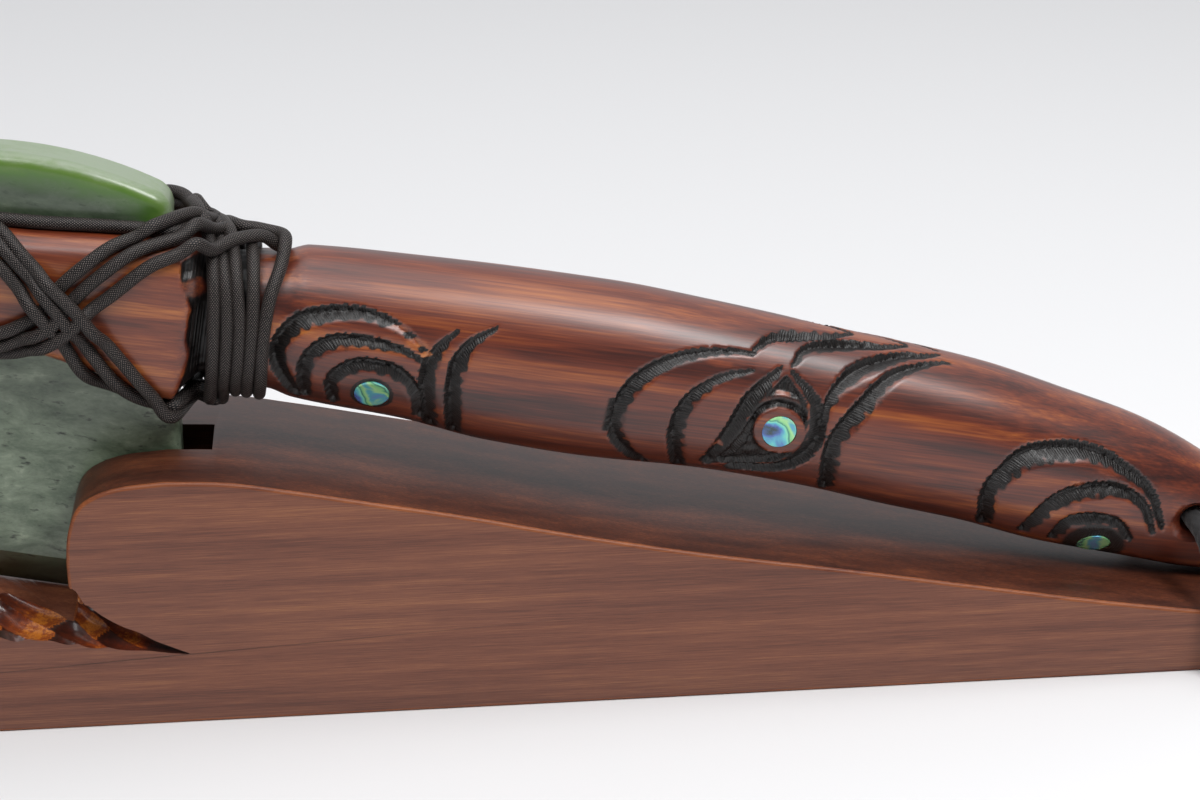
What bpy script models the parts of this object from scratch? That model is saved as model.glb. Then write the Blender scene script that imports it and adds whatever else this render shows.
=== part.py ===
"""A greenstone axe in a carved and bound wooden haft, lying on its own shaped wooden stand.

Metres, +Z up. X runs along the haft with the butt at +X, and the carved near side faces -Y.
The origin is on the floor under the middle of the stand.
"""
import math

import bmesh
import bpy
import numpy as np
from mathutils import Matrix, Vector

MM = 0.001
GAP = 0.3 * MM

# The stand: a plank sawn to a hump on each side of the blade and a low end for the butt
STAND_THICKNESS = 50 * MM
STAND_EDGE = 0.8 * MM
STAND_PAST_HEAD = 85 * MM
STAND_PAST_BUTT = 14 * MM
HUMP_HEIGHT = 62 * MM
HUMP_LENGTH = 41 * MM
VALLEY_WIDTH = 35.8 * MM
VALLEY_LIP = 9 * MM
VALLEY_CENTRE_DROP = 53.4 * MM
SEAT_HEIGHT = 28.2 * MM
SLOT_CLEARANCE = 0.5 * MM
SLOT_END_CLEARANCE = 9 * MM
SLOT_OVERSHOOT = 12 * MM
SCOOP_HALF_LENGTH = 44 * MM
SCOOP_HEIGHT = 24 * MM
SCOOP_DEPTH = 25 * MM
SCOOP_DIP = 3.6 * MM
SCOOP_FALL = 0.13
# How a scoop narrows: shares of its half length from the middle, and of its height
SCOOP_TAPER = [
    (0, 1), (0.23, 0.88), (0.43, 0.64), (0.48, 0.5), (0.59, 0.34), (0.72, 0.23), (0.84, 0.12), (1, 0.01),
]

# The stand's long slope as shares of its run and of its height, from the hump to the haft's rest
SLOPE = [
    (0, 1), (0.045, 0.987), (0.112, 0.922), (0.184, 0.838), (0.255, 0.756), (0.352, 0.629),
    (0.474, 0.487), (0.599, 0.366), (0.725, 0.236), (0.87, 0.0915), (0.973, 0.012), (1, 0),
]

# The greenstone blade, along the haft and square to it, from the head's middle
HEAD_TILT = math.radians(10)
STONE_THICKNESS = 13 * MM
STONE_EDGE_ROUNDING = 3 * MM
POLL_TOP = 32.2 * MM
POLL_RADIUS = 92 * MM
POLL_HALF_WIDTH = 33 * MM
POLL_CORNER = 6 * MM
BLADE_DROP = 74.1 * MM
BLADE_HALF_WIDTH = 46.3 * MM
BLADE_CORNER = 5 * MM
BLADE_SKEW = math.radians(2)
BEVEL_HEIGHT = 10 * MM
CUTTING_LAND = 0.4 * MM
MORTISE_CLEARANCE = 0.4 * MM

# The haft's reach from the head's middle to its butt, and the head's wood past the blade
HAFT_REACH = 310 * MM
HEAD_WOOD = 4.6 * MM

# The haft's side view: station along it, top, bottom, half width and squareness of its section
HAFT_STATIONS = [
    (-72, 6.0, -6.0, 5.0, 2.1),
    (-68, 12.0, -12.0, 10.0, 2.2),
    (-60, 16.0, -16.0, 13.0, 2.4),
    (-52, 15.5, -15.5, 12.5, 2.4),
    (-45, 15.0, -15.5, 12.5, 2.6),
    (-40, 17.2, -19.5, 15.5, 5.0),
    (-20, 16.4, -14.8, 16.0, 5.0),
    (0, 16.8, -11.2, 16.0, 5.0),
    (20, 18.2, -15.0, 16.0, 5.0),
    (38, 19.2, -19.8, 15.5, 5.0),
    (44, 15.6, -16.5, 12.5, 2.6),
    (59, 15.4, -16.8, 12.5, 2.3),
    (65, 17.4, -18.5, 13.8, 2.1),
    (90, 18.2, -20.4, 15.0, 2.1),
    (111, 18.5, -23.4, 15.6, 2.1),
    (135, 18.2, -24.5, 16.0, 2.1),
    (159, 16.5, -24.0, 15.8, 2.1),
    (184, 14.2, -25.2, 15.4, 2.1),
    (209, 12.0, -27.9, 15.6, 2.1),
    (226, 10.0, -29.4, 15.8, 2.1),
    (248, 5.6, -32.6, 15.4, 2.1),
    (267, 1.3, -33.9, 14.4, 2.1),
    (289, -7.4, -35.3, 12.0, 2.1),
    (302, -15.5, -34.6, 8.5, 2.1),
    (310, -23.5, -29.5, 3.0, 2.0),
]
HEAD_STATION = 41.2
NECK_STATION = 65
BUTT_STATION = 310
BETWEEN_STATIONS = [77, 278]
HAFT_SIDES = 16
REST_STATION = 302

# The wrist cord and its hole near the butt
HOLE_STATION = 283
HOLE_RISE = 1.0 * MM
HOLE_CLEARANCE = 1.2 * MM
HOLE_FLARE = 2.2 * MM
WRIST_CORD_DIAMETER = 5 * MM
WRIST_CORD_STEP = 15 * MM

# The lashing
LASHING_DIAMETER = 3 * MM
LASHING_SPACING = 0.15 * MM
LASHING_STANDOFF = 1.4 * MM
LASHING_BITE = 0.3 * MM
LASHING_TOLERANCE = 1.2 * MM

# The lashing's strands on the near side: station, and way round from the side (0) to the ridge (1)
# The girdle, by how far it stands off the blade's face
GIRDLE = [
    (-37, 0.1), (-34, -0.01), (-28, 0), (-16, 0), (0, 0), (16, 0), (28, 0), (34, -0.01), (37, 0.1),
]
RISING = [
    [
        (-38, -0.49), (-25, -0.43), (-12, -0.36), (-1, -0.29), (3.5, -0.2), (7.5, -0.08), (11, 0.17),
        (16, 0.37), (22.5, 0.54), (31, 0.67), (37, 0.85),
    ],
    [
        (-38, -0.58), (-25, -0.53), (-12, -0.47), (-0.5, -0.4), (6, -0.26), (10.5, -0.12), (14, 0.08),
        (18.5, 0.28), (25.5, 0.49), (36.5, 0.67), (42, 0.84),
    ],
    [
        (-38, -0.7), (-25, -0.66), (-12, -0.6), (-0.5, -0.5), (6.5, -0.37), (13, -0.19), (17, -0.01),
        (22, 0.17), (29.5, 0.43), (38, 0.58), (46, 0.76), (53, 0.92),
    ],
]
FALLING = [
    [
        (-48.7, 0.8), (-38, 0.6), (-26, 0.47), (-12, 0.39), (-5, 0.33), (-1.5, 0.26), (4.5, 0.03),
        (9, -0.12), (13.5, -0.3), (18, -0.5), (23, -0.65), (30, -0.71), (38, -0.72),
    ],
    [
        (-45.5, 0.8), (-36.5, 0.7), (-24, 0.57), (-12, 0.51), (-6, 0.48), (-2.5, 0.42), (5.5, 0.19),
        (12, -0.04), (18, -0.26), (24, -0.46), (30, -0.6), (37, -0.68),
    ],
    [
        (-42, 0.86), (-33, 0.74), (-22, 0.67), (-12, 0.64), (-6, 0.6), (-3, 0.53), (0, 0.44),
        (7, 0.25), (14.5, 0.05), (18.5, -0.08), (27.5, -0.34), (33, -0.49), (38.5, -0.62),
    ],
]
# Where the girdle and each rising strand cross the ridge, and their way down the neck's far side
RIDGES = [38.8, 41.5, 46, 58.7]
NECK_WRAPS = [
    [(43.5, 1.35), (44.5, 1.59), (45.5, 1.97), (46.5, 2.5), (46.7, 3)],
    [(45.5, 1.32), (47, 1.57), (48.5, 1.95), (49.3, 2.55), (49.5, 3)],
    [(48, 1.26), (49.5, 1.56), (51.2, 1.94), (52, 2.55), (52.2, 3)],
    [(58.6, 1.3), (57, 1.6), (56.6, 2), (57.4, 2.5), (57.6, 3)],
]
NECK_RING = [(54.9, -1), (54.6, -0.7), (53.9, 0.1), (53, 0.5), (51.8, 1)]

# The inlaid shell discs: station along the haft and millimetres up its side
EYE_DIAMETER = 8 * MM
EYE_THICKNESS = 1.5 * MM
EYE_SUNK = 0.2 * MM
EYES = [(82.5, -10.7), (176.5, -2.3), (260.0, -14.4)]

# The carved strokes: width, the share of it left at each end, and places along and up the side
STROKE_TOLERANCE = 1.05 * MM
STROKES = [
    (4.6, 0.8, 0.35, [(66, -15), (60.5, -4), (63.5, 4), (70, 7.5), (78, 9), (86.5, 7), (93.5, 2.2)]),
    (4.2, 0.8, 0.3, [(68, -14.5), (67, -5), (71, 0.8), (79, 2.7), (87, 2.2), (93, 0.3)]),
    (4.2, 0.8, 0.8, [
        (74.5, -15), (73.5, -8), (77.5, -3.6), (83, -2.8), (88, -4.2), (92, -8.5), (93.5, -15),
    ]),
    (4.4, 0.2, 0.9, [(99.5, 9.2), (95.5, 3), (94.5, -5), (97.5, -19.5)]),
    (4.4, 0.2, 0.9, [(108, 11.5), (102.5, 6), (100.5, -3), (103, -20)]),
    (4.4, 0.8, 0.25, [
        (148, -21), (139.5, -10.3), (138.8, -2.4), (142, 4.5), (148.5, 9.9), (158, 13.6), (167.5, 14.9),
    ]),
    (4.4, 0.9, 0.2, [(156.5, -20.2), (153, -7.5), (154.5, 1.5), (160.5, 7.7), (168, 11.1)]),
    (3.8, 0.4, 0.2, [(167.5, 16), (172, 20.3), (180, 22.4)]),
    (5.4, 0.3, 0.9, [(174.3, 12.4), (169.5, 5), (166, -5), (163, -15)]),
    (4.8, 0.3, 0.8, [(177.3, 12), (183.3, 6), (184.6, -3), (179, -12), (168, -16)]),
    (4.2, 0.3, 0.15, [(177.5, 14), (181, 18.7), (193, 22.8)]),
    (4.4, 0.4, 0.15, [(186.7, 1.5), (187.4, 8.3), (193.5, 15.9), (204, 22.6)]),
    (4.8, 0.9, 0.15, [(192, -17.5), (190.3, -3), (196, 8.7), (202, 16.7), (212, 22.7)]),
    (4.8, 0.8, 0.2, [
        (232, -17), (230, -6.5), (232.5, 0), (237, 5.5), (246, 9.2), (254, 10.2), (262, 8), (269, 4.4),
        (274, -3),
    ]),
    (4.4, 0.8, 0.25, [(242, -15), (244.7, -6.5), (248.7, -1.5), (255, 1.7), (261.5, 3), (268, 0.8)]),
    (4.0, 0.8, 0.25, [(249.7, -14), (251, -9), (256, -6.2), (262.5, -5.5)]),
]

WOOD = (0.13, 0.045, 0.022)
STAND_WOOD = (0.16, 0.07, 0.04)
GREENSTONE = (0.07, 0.17, 0.08)
BLACK_CORD = (0.016, 0.015, 0.016)
PAUA = (0.18, 0.42, 0.40)


def material(name, colour, roughness, metallic=0.0):
    made = bpy.data.materials.new(name)
    made.use_nodes = True
    shader = made.node_tree.nodes["Principled BSDF"]
    shader.inputs["Base Color"].default_value = (*colour, 1)
    shader.inputs["Roughness"].default_value = roughness
    shader.inputs["Metallic"].default_value = metallic
    return made


def collection(name):
    made = bpy.data.collections.new(name)
    bpy.context.scene.collection.children.link(made)
    return made


def add_object(name, mesh, where, surface=None, smooth=True):
    made = bpy.data.objects.new(name, mesh)
    where.objects.link(made)
    if surface:
        mesh.materials.clear()
        mesh.materials.append(surface)
    if smooth:
        mesh.shade_smooth()
        mesh.set_sharp_from_angle(angle=math.radians(40))
    return made


def add_cutter(name, mesh, where):
    made = add_object(name, mesh, where, smooth=False)
    made.hide_render = True
    made.display_type = "WIRE"
    return made


def from_curve(curve, name):
    """A curve's evaluated shape as a mesh with its caps welded; the curve is removed."""
    guide = bpy.data.objects.new(name + "_guide", curve)
    bpy.context.scene.collection.objects.link(guide)
    seen = guide.evaluated_get(bpy.context.evaluated_depsgraph_get())
    mesh = bpy.data.meshes.new_from_object(seen)
    mesh.name = name
    bpy.data.objects.remove(guide)
    bpy.data.curves.remove(curve)
    shape = bmesh.new()
    shape.from_mesh(mesh)
    bmesh.ops.remove_doubles(shape, verts=shape.verts, dist=0.00001)
    bmesh.ops.recalc_face_normals(shape, faces=shape.faces)
    shape.to_mesh(mesh)
    shape.free()
    return mesh


def tube_mesh(name, points, radii, closed=False, rings=2, sides=0):
    """A tube along points, round with a curve's bevel rings or with a few flat sides."""
    curve = bpy.data.curves.new(name, "CURVE")
    curve.dimensions = "3D"
    curve.bevel_depth = 1.0
    curve.bevel_resolution = rings
    curve.use_fill_caps = not closed
    if sides:
        section = bpy.data.curves.new(name + "_section", "CURVE")
        ring = section.splines.new("POLY")
        ring.points.add(sides - 1)
        for k, spot in enumerate(ring.points):
            turn = 2 * math.pi * k / sides
            spot.co = (math.cos(turn), math.sin(turn), 0, 1)
        ring.use_cyclic_u = True
        guide = bpy.data.objects.new(name + "_section", section)
        curve.bevel_mode = "OBJECT"
        curve.bevel_object = guide
    line = curve.splines.new("POLY")
    line.points.add(len(points) - 1)
    for spot, place, radius in zip(line.points, points, radii):
        spot.co = (*place, 1)
        spot.radius = radius
    line.use_cyclic_u = closed
    mesh = from_curve(curve, name)
    if sides:
        bpy.data.objects.remove(guide)
    return mesh


def slab_mesh(name, outline, thickness, rounding=0.0, steps=0):
    """A flat outline in X and Z, as thick as given along Y, with its edges rounded inwards."""
    curve = bpy.data.curves.new(name, "CURVE")
    curve.dimensions = "2D"
    curve.fill_mode = "BOTH"
    curve.extrude = thickness / 2 - rounding
    curve.bevel_depth = rounding
    curve.bevel_resolution = steps
    curve.offset = -rounding
    line = curve.splines.new("POLY")
    line.points.add(len(outline) - 1)
    for spot, (x, z) in zip(line.points, outline):
        spot.co = (x, z, 0, 1)
    line.use_cyclic_u = True
    mesh = from_curve(curve, name)
    mesh.transform(Matrix.Rotation(math.radians(90), 4, "X"))
    return mesh


def cut(target, cutters, name="cut"):
    made = target.modifiers.new(name, "BOOLEAN")
    made.operation = "DIFFERENCE"
    made.operand_type = "COLLECTION"
    made.collection = cutters
    made.solver = "EXACT"


def smooth_value(rows, column, place):
    """A smooth curve through one column of rows, without overshoot between them."""
    xs = [row[0] for row in rows]
    ys = [row[column] for row in rows]
    place = min(max(place, xs[0]), xs[-1])
    steps = [b - a for a, b in zip(xs, xs[1:])]
    slopes = [(b - a) / step for a, b, step in zip(ys, ys[1:], steps)]
    k = next((i for i in range(len(steps)) if place <= xs[i + 1]), len(steps) - 1)

    def bend(i):
        if i == 0 or i == len(slopes):
            return slopes[min(i, len(slopes) - 1)]
        if slopes[i - 1] * slopes[i] <= 0:
            return 0.0
        before = 2 * steps[i] + steps[i - 1]
        after = steps[i] + 2 * steps[i - 1]
        return (before + after) / (before / slopes[i - 1] + after / slopes[i])

    t = (place - xs[k]) / steps[k]
    return (
        (1 + 2 * t) * (1 - t) ** 2 * ys[k]
        + t * (1 - t) ** 2 * steps[k] * bend(k)
        + t * t * (3 - 2 * t) * ys[k + 1]
        + t * t * (t - 1) * steps[k] * bend(k + 1)
    )


def along_curve(points, step):
    """Points about a step apart on a smooth curve through the given ones."""
    points = [np.array(p, float) for p in points]
    ends = [2 * points[0] - points[1], *points, 2 * points[-1] - points[-2]]
    fine = []
    for a, b, c, d in zip(ends, ends[1:], ends[2:], ends[3:]):
        count = max(1, math.ceil(np.linalg.norm(c - b) / step))
        for t in np.arange(count) / count:
            fine.append(
                b + 0.5 * ((c - a) * t + (2 * a - 5 * b + 4 * c - d) * t**2 + (3 * b - a - 3 * c + d) * t**3)
            )
    return [*fine, points[-1]]


def thinned(points, within):
    """The points of a line that it needs to stay within a distance of its old course."""
    points = np.array(points)
    keep = {0, len(points) - 1}
    todo = [(0, len(points) - 1)]
    while todo:
        a, b = todo.pop()
        if b - a < 2:
            continue
        way = points[b] - points[a]
        off = points[a + 1 : b] - points[a]
        share = np.clip(off @ way / max(way @ way, 1e-12), 0, 1)
        away = np.linalg.norm(off - share[:, None] * way, axis=1)
        if away.max() > within:
            far = a + 1 + int(away.argmax())
            keep.add(far)
            todo += [(a, far), (far, b)]
    return sorted(keep)


def poll_fillet():
    """The height of the middle of the fillet that turns the arched poll into the blade's side."""
    reach = POLL_HALF_WIDTH - POLL_CORNER
    return POLL_TOP - POLL_RADIUS + math.sqrt((POLL_RADIUS - POLL_CORNER) ** 2 - reach**2)


def blade_half_width(rise):
    """Half the blade's width at a height in the head's own plane, under its poll."""
    share = (poll_fillet() - rise) / (poll_fillet() + BLADE_DROP)
    return POLL_HALF_WIDTH + share * (BLADE_HALF_WIDTH - POLL_HALF_WIDTH)


def head_length():
    """Half the length of the haft's head: the blade in its mortise and the wood past it."""
    return blade_half_width(0) + HEAD_WOOD


def laid_out(station):
    """The distance along the haft of a station, which the head and the reach set between them."""
    size = abs(station)
    if size <= HEAD_STATION:
        return station / HEAD_STATION * head_length()
    past = head_length() + (size - HEAD_STATION) * MM
    if station < 0 or station <= NECK_STATION:
        return math.copysign(past, station)
    neck = head_length() + (NECK_STATION - HEAD_STATION) * MM
    share = (station - NECK_STATION) / (BUTT_STATION - NECK_STATION)
    return neck + share * (HAFT_REACH - neck)


def head_place():
    """The head's middle, over the seat that carries the blade's cutting edge."""
    butt = HAFT_REACH * math.cos(HEAD_TILT) + HAFT_STATIONS[-1][2] * MM * math.sin(HEAD_TILT)
    length = STAND_PAST_HEAD + butt + STAND_PAST_BUTT
    rise = SEAT_HEIGHT + GAP / math.cos(HEAD_TILT) + BLADE_DROP * math.cos(HEAD_TILT)
    return Vector((STAND_PAST_HEAD - length / 2, 0, rise))


def head_point(along, rise, y=0.0):
    """A place given along the haft's head and square to it."""
    x = along * math.cos(HEAD_TILT) + rise * math.sin(HEAD_TILT)
    z = rise * math.cos(HEAD_TILT) - along * math.sin(HEAD_TILT)
    return head_place() + Vector((x, y, z))


def haft_section(station):
    """Middle, half height, half width and squareness of the haft's section, in metres."""
    top, bottom, half_width, square = (
        smooth_value(HAFT_STATIONS, column, station) for column in (1, 2, 3, 4)
    )
    return (top + bottom) / 2 * MM, (top - bottom) / 2 * MM, half_width * MM, square


def quarter(half_height, half_width, square):
    """One quarter of a section from its side to its top, and the length of each part of it."""
    turn = np.linspace(0, math.pi / 2, 120)
    across = half_width * np.cos(turn) ** (2 / square)
    up = half_height * np.sin(turn) ** (2 / square)
    length = np.concatenate([[0], np.cumsum(np.hypot(np.diff(across), np.diff(up)))])
    return across, up, length


def quarter_length(station):
    """The length round the haft from its side to its top, in millimetres."""
    return quarter(*haft_section(station)[1:])[2][-1] / MM


def haft_point(station, around, lift=0.0):
    """A place on the haft: around is 0 at the near side, 1 on top, 2 at the far side, 3 below."""
    middle, half_height, half_width, square = haft_section(station)
    across, up, length = quarter(half_height, half_width, square)
    part = int(math.floor(around)) % 4
    share = around - math.floor(around)
    if part in (1, 3):
        share = 1 - share
    y = float(np.interp(share * length[-1], length, across))
    z = float(np.interp(share * length[-1], length, up))
    out_y = (y / half_width) ** (square - 1) / half_width
    out_z = (z / half_height) ** (square - 1) / half_height
    size = math.hypot(out_y, out_z)
    y += lift * out_y / size
    z += lift * out_z / size
    side = -1 if part in (0, 3) else 1
    rise = 1 if part in (0, 1) else -1
    return head_point(laid_out(station), middle + rise * z, side * y)


def side_point(station, up_the_side, lift=0.0, side=-1):
    """A place on the haft given by how far it is up the near side from its middle line."""
    place = haft_point(station, up_the_side / MM / quarter_length(station), lift)
    return Vector((place.x, -side * place.y, place.z))


def beside_blade(station, lift):
    """How far round the haft a cord of this lift lies just clear of the blade's face."""
    clear = STONE_THICKNESS / 2 + MORTISE_CLEARANCE + LASHING_DIAMETER / 2 + GAP
    arounds = np.linspace(0.99, 0.3, 70)
    reach = [-haft_point(station, around, lift).y for around in arounds]
    return float(np.interp(clear, reach, arounds))


def past_blade(rise):
    """The first station where a cord at this height clears the blade's end."""
    clear = blade_half_width(rise) + MORTISE_CLEARANCE + LASHING_DIAMETER / 2 + GAP
    return HEAD_STATION + (clear - head_length()) / MM


def stone_outline(grow=0.0):
    """The blade's outline in the head's own plane: arched poll, flared sides, skewed edge."""
    half_low = BLADE_HALF_WIDTH + grow
    corner_x, corner_z = POLL_HALF_WIDTH - POLL_CORNER, poll_fillet()
    arch_z = POLL_TOP - POLL_RADIUS
    meet = math.atan2(corner_z - arch_z, corner_x)
    right = []
    for k in range(5):
        turn = math.pi / 2 + (meet - math.pi / 2) * k / 4
        reach = POLL_RADIUS + grow
        right.append((reach * math.cos(turn), arch_z + reach * math.sin(turn)))
    for k in range(1, 4):
        turn = meet * (1 - k / 3)
        reach = POLL_CORNER + grow
        right.append((corner_x + reach * math.cos(turn), corner_z + reach * math.sin(turn)))
    drop = math.tan(BLADE_SKEW)
    for side in (1, -1):
        low = -BLADE_DROP - grow - side * half_low * drop
        corner = [(half_low - BLADE_CORNER * 0.1, low + BLADE_CORNER * 0.9), (half_low - BLADE_CORNER, low)]
        if side == 1:
            outline = [*right, *corner]
        else:
            outline += [(-s, h) for s, h in reversed(corner)]
    return outline + [(-s, h) for s, h in reversed(right[1:])]


def place_in_head(mesh):
    """Turns and moves a slab modelled on the head's own axes to where the head is."""
    mesh.transform(Matrix.Translation(head_place()) @ Matrix.Rotation(HEAD_TILT, 4, "Y"))


def blade_floor(x):
    """The height of the slot's floor under the cutting edge."""
    edge = head_point(0, -BLADE_DROP)
    return edge.z - GAP / math.cos(HEAD_TILT) - math.tan(HEAD_TILT + BLADE_SKEW) * (x - edge.x)


def valley_middle():
    """The middle of the open valley, under a point of the blade's middle line above its edge."""
    return head_point(0, -VALLEY_CENTRE_DROP).x


def hump_side(way):
    """One hump's wall and rounded lip, from the valley's floor to the crest."""
    wall = VALLEY_WIDTH / 2
    lip = [(0, 2.15), (0.09, 1.4), (0.34, 0.7), (0.76, 0.33), (1.46, 0.1)]
    points = [(wall + out * VALLEY_LIP, HUMP_HEIGHT - down * VALLEY_LIP) for out, down in lip]
    points.append((HUMP_LENGTH, HUMP_HEIGHT))
    foot = valley_middle() + way * wall
    return [(foot, blade_floor(foot)), *((valley_middle() + way * x, z) for x, z in points)]


def stand_ends():
    """The stand's left and right end along X."""
    left = head_place().x - STAND_PAST_HEAD
    return left, -left


def stand_outline():
    """The stand's side view, clockwise from its lower left corner."""
    left, right = stand_ends()
    middle, half_height = haft_section(REST_STATION)[:2]
    rest = head_point(laid_out(REST_STATION), middle - half_height)
    seat = rest.z - GAP
    lobe = valley_middle() - HUMP_LENGTH - left
    left_end = [(0, 0), (0, 0.15), (0.1, 0.42), (0.32, 0.73), (0.62, 0.92)]
    outline = [(left + share * lobe, rise * HUMP_HEIGHT) for share, rise in left_end]
    outline += hump_side(-1)[::-1]
    right_hump = hump_side(1)
    outline += right_hump
    crest = right_hump[-1][0]
    for k in range(1, 19):
        share = k / 18
        height = smooth_value(SLOPE, 1, share)
        outline.append((crest + share * (rest.x - crest), seat + height * (HUMP_HEIGHT - seat)))
    right_end = [(0.5, 0.88), (0.875, 0.61), (1, 0.27), (1, 0)]
    outline += [(rest.x + share * (right - rest.x), rise * seat) for share, rise in right_end]
    return outline


def scoop_cutter(face):
    """A gouged scoop along one face: widest at the valley's middle, running out to a tip each way."""
    floor = blade_floor(valley_middle()) - SCOOP_DIP
    ways = [(-share, size) for share, size in SCOOP_TAPER[:0:-1]] + SCOOP_TAPER
    radii = [SCOOP_HEIGHT / 2 * size for share, size in ways]
    runs = [SCOOP_HALF_LENGTH * share for share, size in ways]
    course = [(run, 0, radius - SCOOP_FALL * run) for run, radius in zip(runs, radii)]
    mesh = tube_mesh("scoop_cutter", course, radii, rings=1)
    mesh.transform(Matrix.Diagonal((1, 2 * SCOOP_DEPTH / SCOOP_HEIGHT, 1, 1)))
    mesh.transform(Matrix.Translation((valley_middle(), face * STAND_THICKNESS / 2, floor)))
    return mesh


def stand(where, cutters_parent):
    """The stand, with a slot for the blade and a gouged scoop on each face."""
    mesh = slab_mesh("stand", stand_outline(), STAND_THICKNESS, STAND_EDGE)
    body = add_object("stand", mesh, where, material("stand_wood", STAND_WOOD, 0.42))
    cutters = bpy.data.collections.new("stand_cutters")
    cutters_parent.children.link(cutters)
    left = head_point(-BLADE_HALF_WIDTH, -BLADE_DROP).x - SLOT_END_CLEARANCE
    right = head_point(BLADE_HALF_WIDTH, -BLADE_DROP).x + SLOT_END_CLEARANCE
    high = HUMP_HEIGHT + SLOT_OVERSHOOT
    slot = [(left, blade_floor(left)), (left, high), (right, high), (right, blade_floor(right))]
    width = STONE_THICKNESS + 2 * SLOT_CLEARANCE
    add_cutter("slot_cutter", slab_mesh("slot_cutter", slot, width), cutters)
    for face in (-1, 1):
        add_cutter("scoop_cutter", scoop_cutter(face), cutters)
    cut(body, cutters)
    return body


def greenstone(where):
    """The blade: a slab with rounded sides and poll, ground from both faces to its edge."""
    mesh = slab_mesh("axe_head", stone_outline(), STONE_THICKNESS, STONE_EDGE_ROUNDING, 2)
    shape = bmesh.new()
    shape.from_mesh(mesh)
    slope = math.atan2(STONE_THICKNESS / 2 - CUTTING_LAND / 2, BEVEL_HEIGHT)
    for face in (-1, 1):
        lean = Vector((0, face * math.cos(slope), -math.sin(slope)))
        lean.rotate(Matrix.Rotation(BLADE_SKEW, 3, "Y"))
        edge = Vector((0, face * CUTTING_LAND / 2, -BLADE_DROP))
        kept = shape.verts[:] + shape.edges[:] + shape.faces[:]
        cut_off = bmesh.ops.bisect_plane(shape, geom=kept, plane_co=edge, plane_no=lean, clear_outer=True)
        rim = [e for e in cut_off["geom_cut"] if isinstance(e, bmesh.types.BMEdge)]
        bmesh.ops.contextual_create(shape, geom=rim)
    bmesh.ops.remove_doubles(shape, verts=shape.verts, dist=0.00002)
    bmesh.ops.recalc_face_normals(shape, faces=shape.faces)
    shape.to_mesh(mesh)
    shape.free()
    place_in_head(mesh)
    return add_object("axe_head", mesh, where, material("greenstone", GREENSTONE, 0.12))


def haft_loft():
    """The haft's skin: one ring of points for each station, closed at both ends."""
    shape = bmesh.new()
    rings = []
    for station in sorted([row[0] for row in HAFT_STATIONS] + BETWEEN_STATIONS):
        ring = [shape.verts.new(haft_point(station, 4 * k / HAFT_SIDES)) for k in range(HAFT_SIDES)]
        rings.append(ring)
    for before, after in zip(rings, rings[1:]):
        for k in range(HAFT_SIDES):
            beside = (k + 1) % HAFT_SIDES
            shape.faces.new((before[k], before[beside], after[beside], after[k]))
    shape.faces.new(rings[0])
    shape.faces.new(rings[-1][::-1])
    bmesh.ops.recalc_face_normals(shape, faces=shape.faces)
    mesh = bpy.data.meshes.new("haft")
    shape.to_mesh(mesh)
    shape.free()
    return mesh


def stroke_cutter(width, start, end, points, side):
    """A round gouge stroke along the haft's surface, tapering towards its ends."""
    line = along_curve(points, 2.6)
    radii = []
    for k in range(len(line)):
        share = k / (len(line) - 1)
        taper = min(1, start + (1 - start) * share / 0.35, end + (1 - end) * (1 - share) / 0.5)
        radii.append(width / 2 * MM * taper)
    places = [side_point(s, g * MM, 0.12 * r, side) for (s, g), r in zip(line, radii)]
    keep = thinned(places, STROKE_TOLERANCE)
    return tube_mesh("stroke_cutter", [places[k] for k in keep], [radii[k] for k in keep], sides=5)


def eye_frame(station, up_the_side, side):
    """A shell disc's place on the haft's surface, with its Z axis pointing out of the wood."""
    place = side_point(station, up_the_side, 0, side)
    out = (side_point(station, up_the_side, 1 * MM, side) - place).normalized()
    turn = out.to_track_quat("Z", "Y").to_matrix().to_4x4()
    return Matrix.Translation(place) @ turn


def disc_mesh(name, radius, low, high, frame, sides=12):
    """A round disc between two heights on a frame's Z axis."""
    shape = bmesh.new()
    bmesh.ops.create_cone(
        shape, cap_ends=True, segments=sides, radius1=radius, radius2=radius, depth=high - low
    )
    mesh = bpy.data.meshes.new(name)
    shape.to_mesh(mesh)
    shape.free()
    mesh.transform(frame @ Matrix.Translation((0, 0, (low + high) / 2)))
    return mesh


def hole_middle():
    """The middle of the wrist cord's hole, in the haft's middle plane."""
    return head_point(laid_out(HOLE_STATION), haft_section(HOLE_STATION)[0] + HOLE_RISE)


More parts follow.
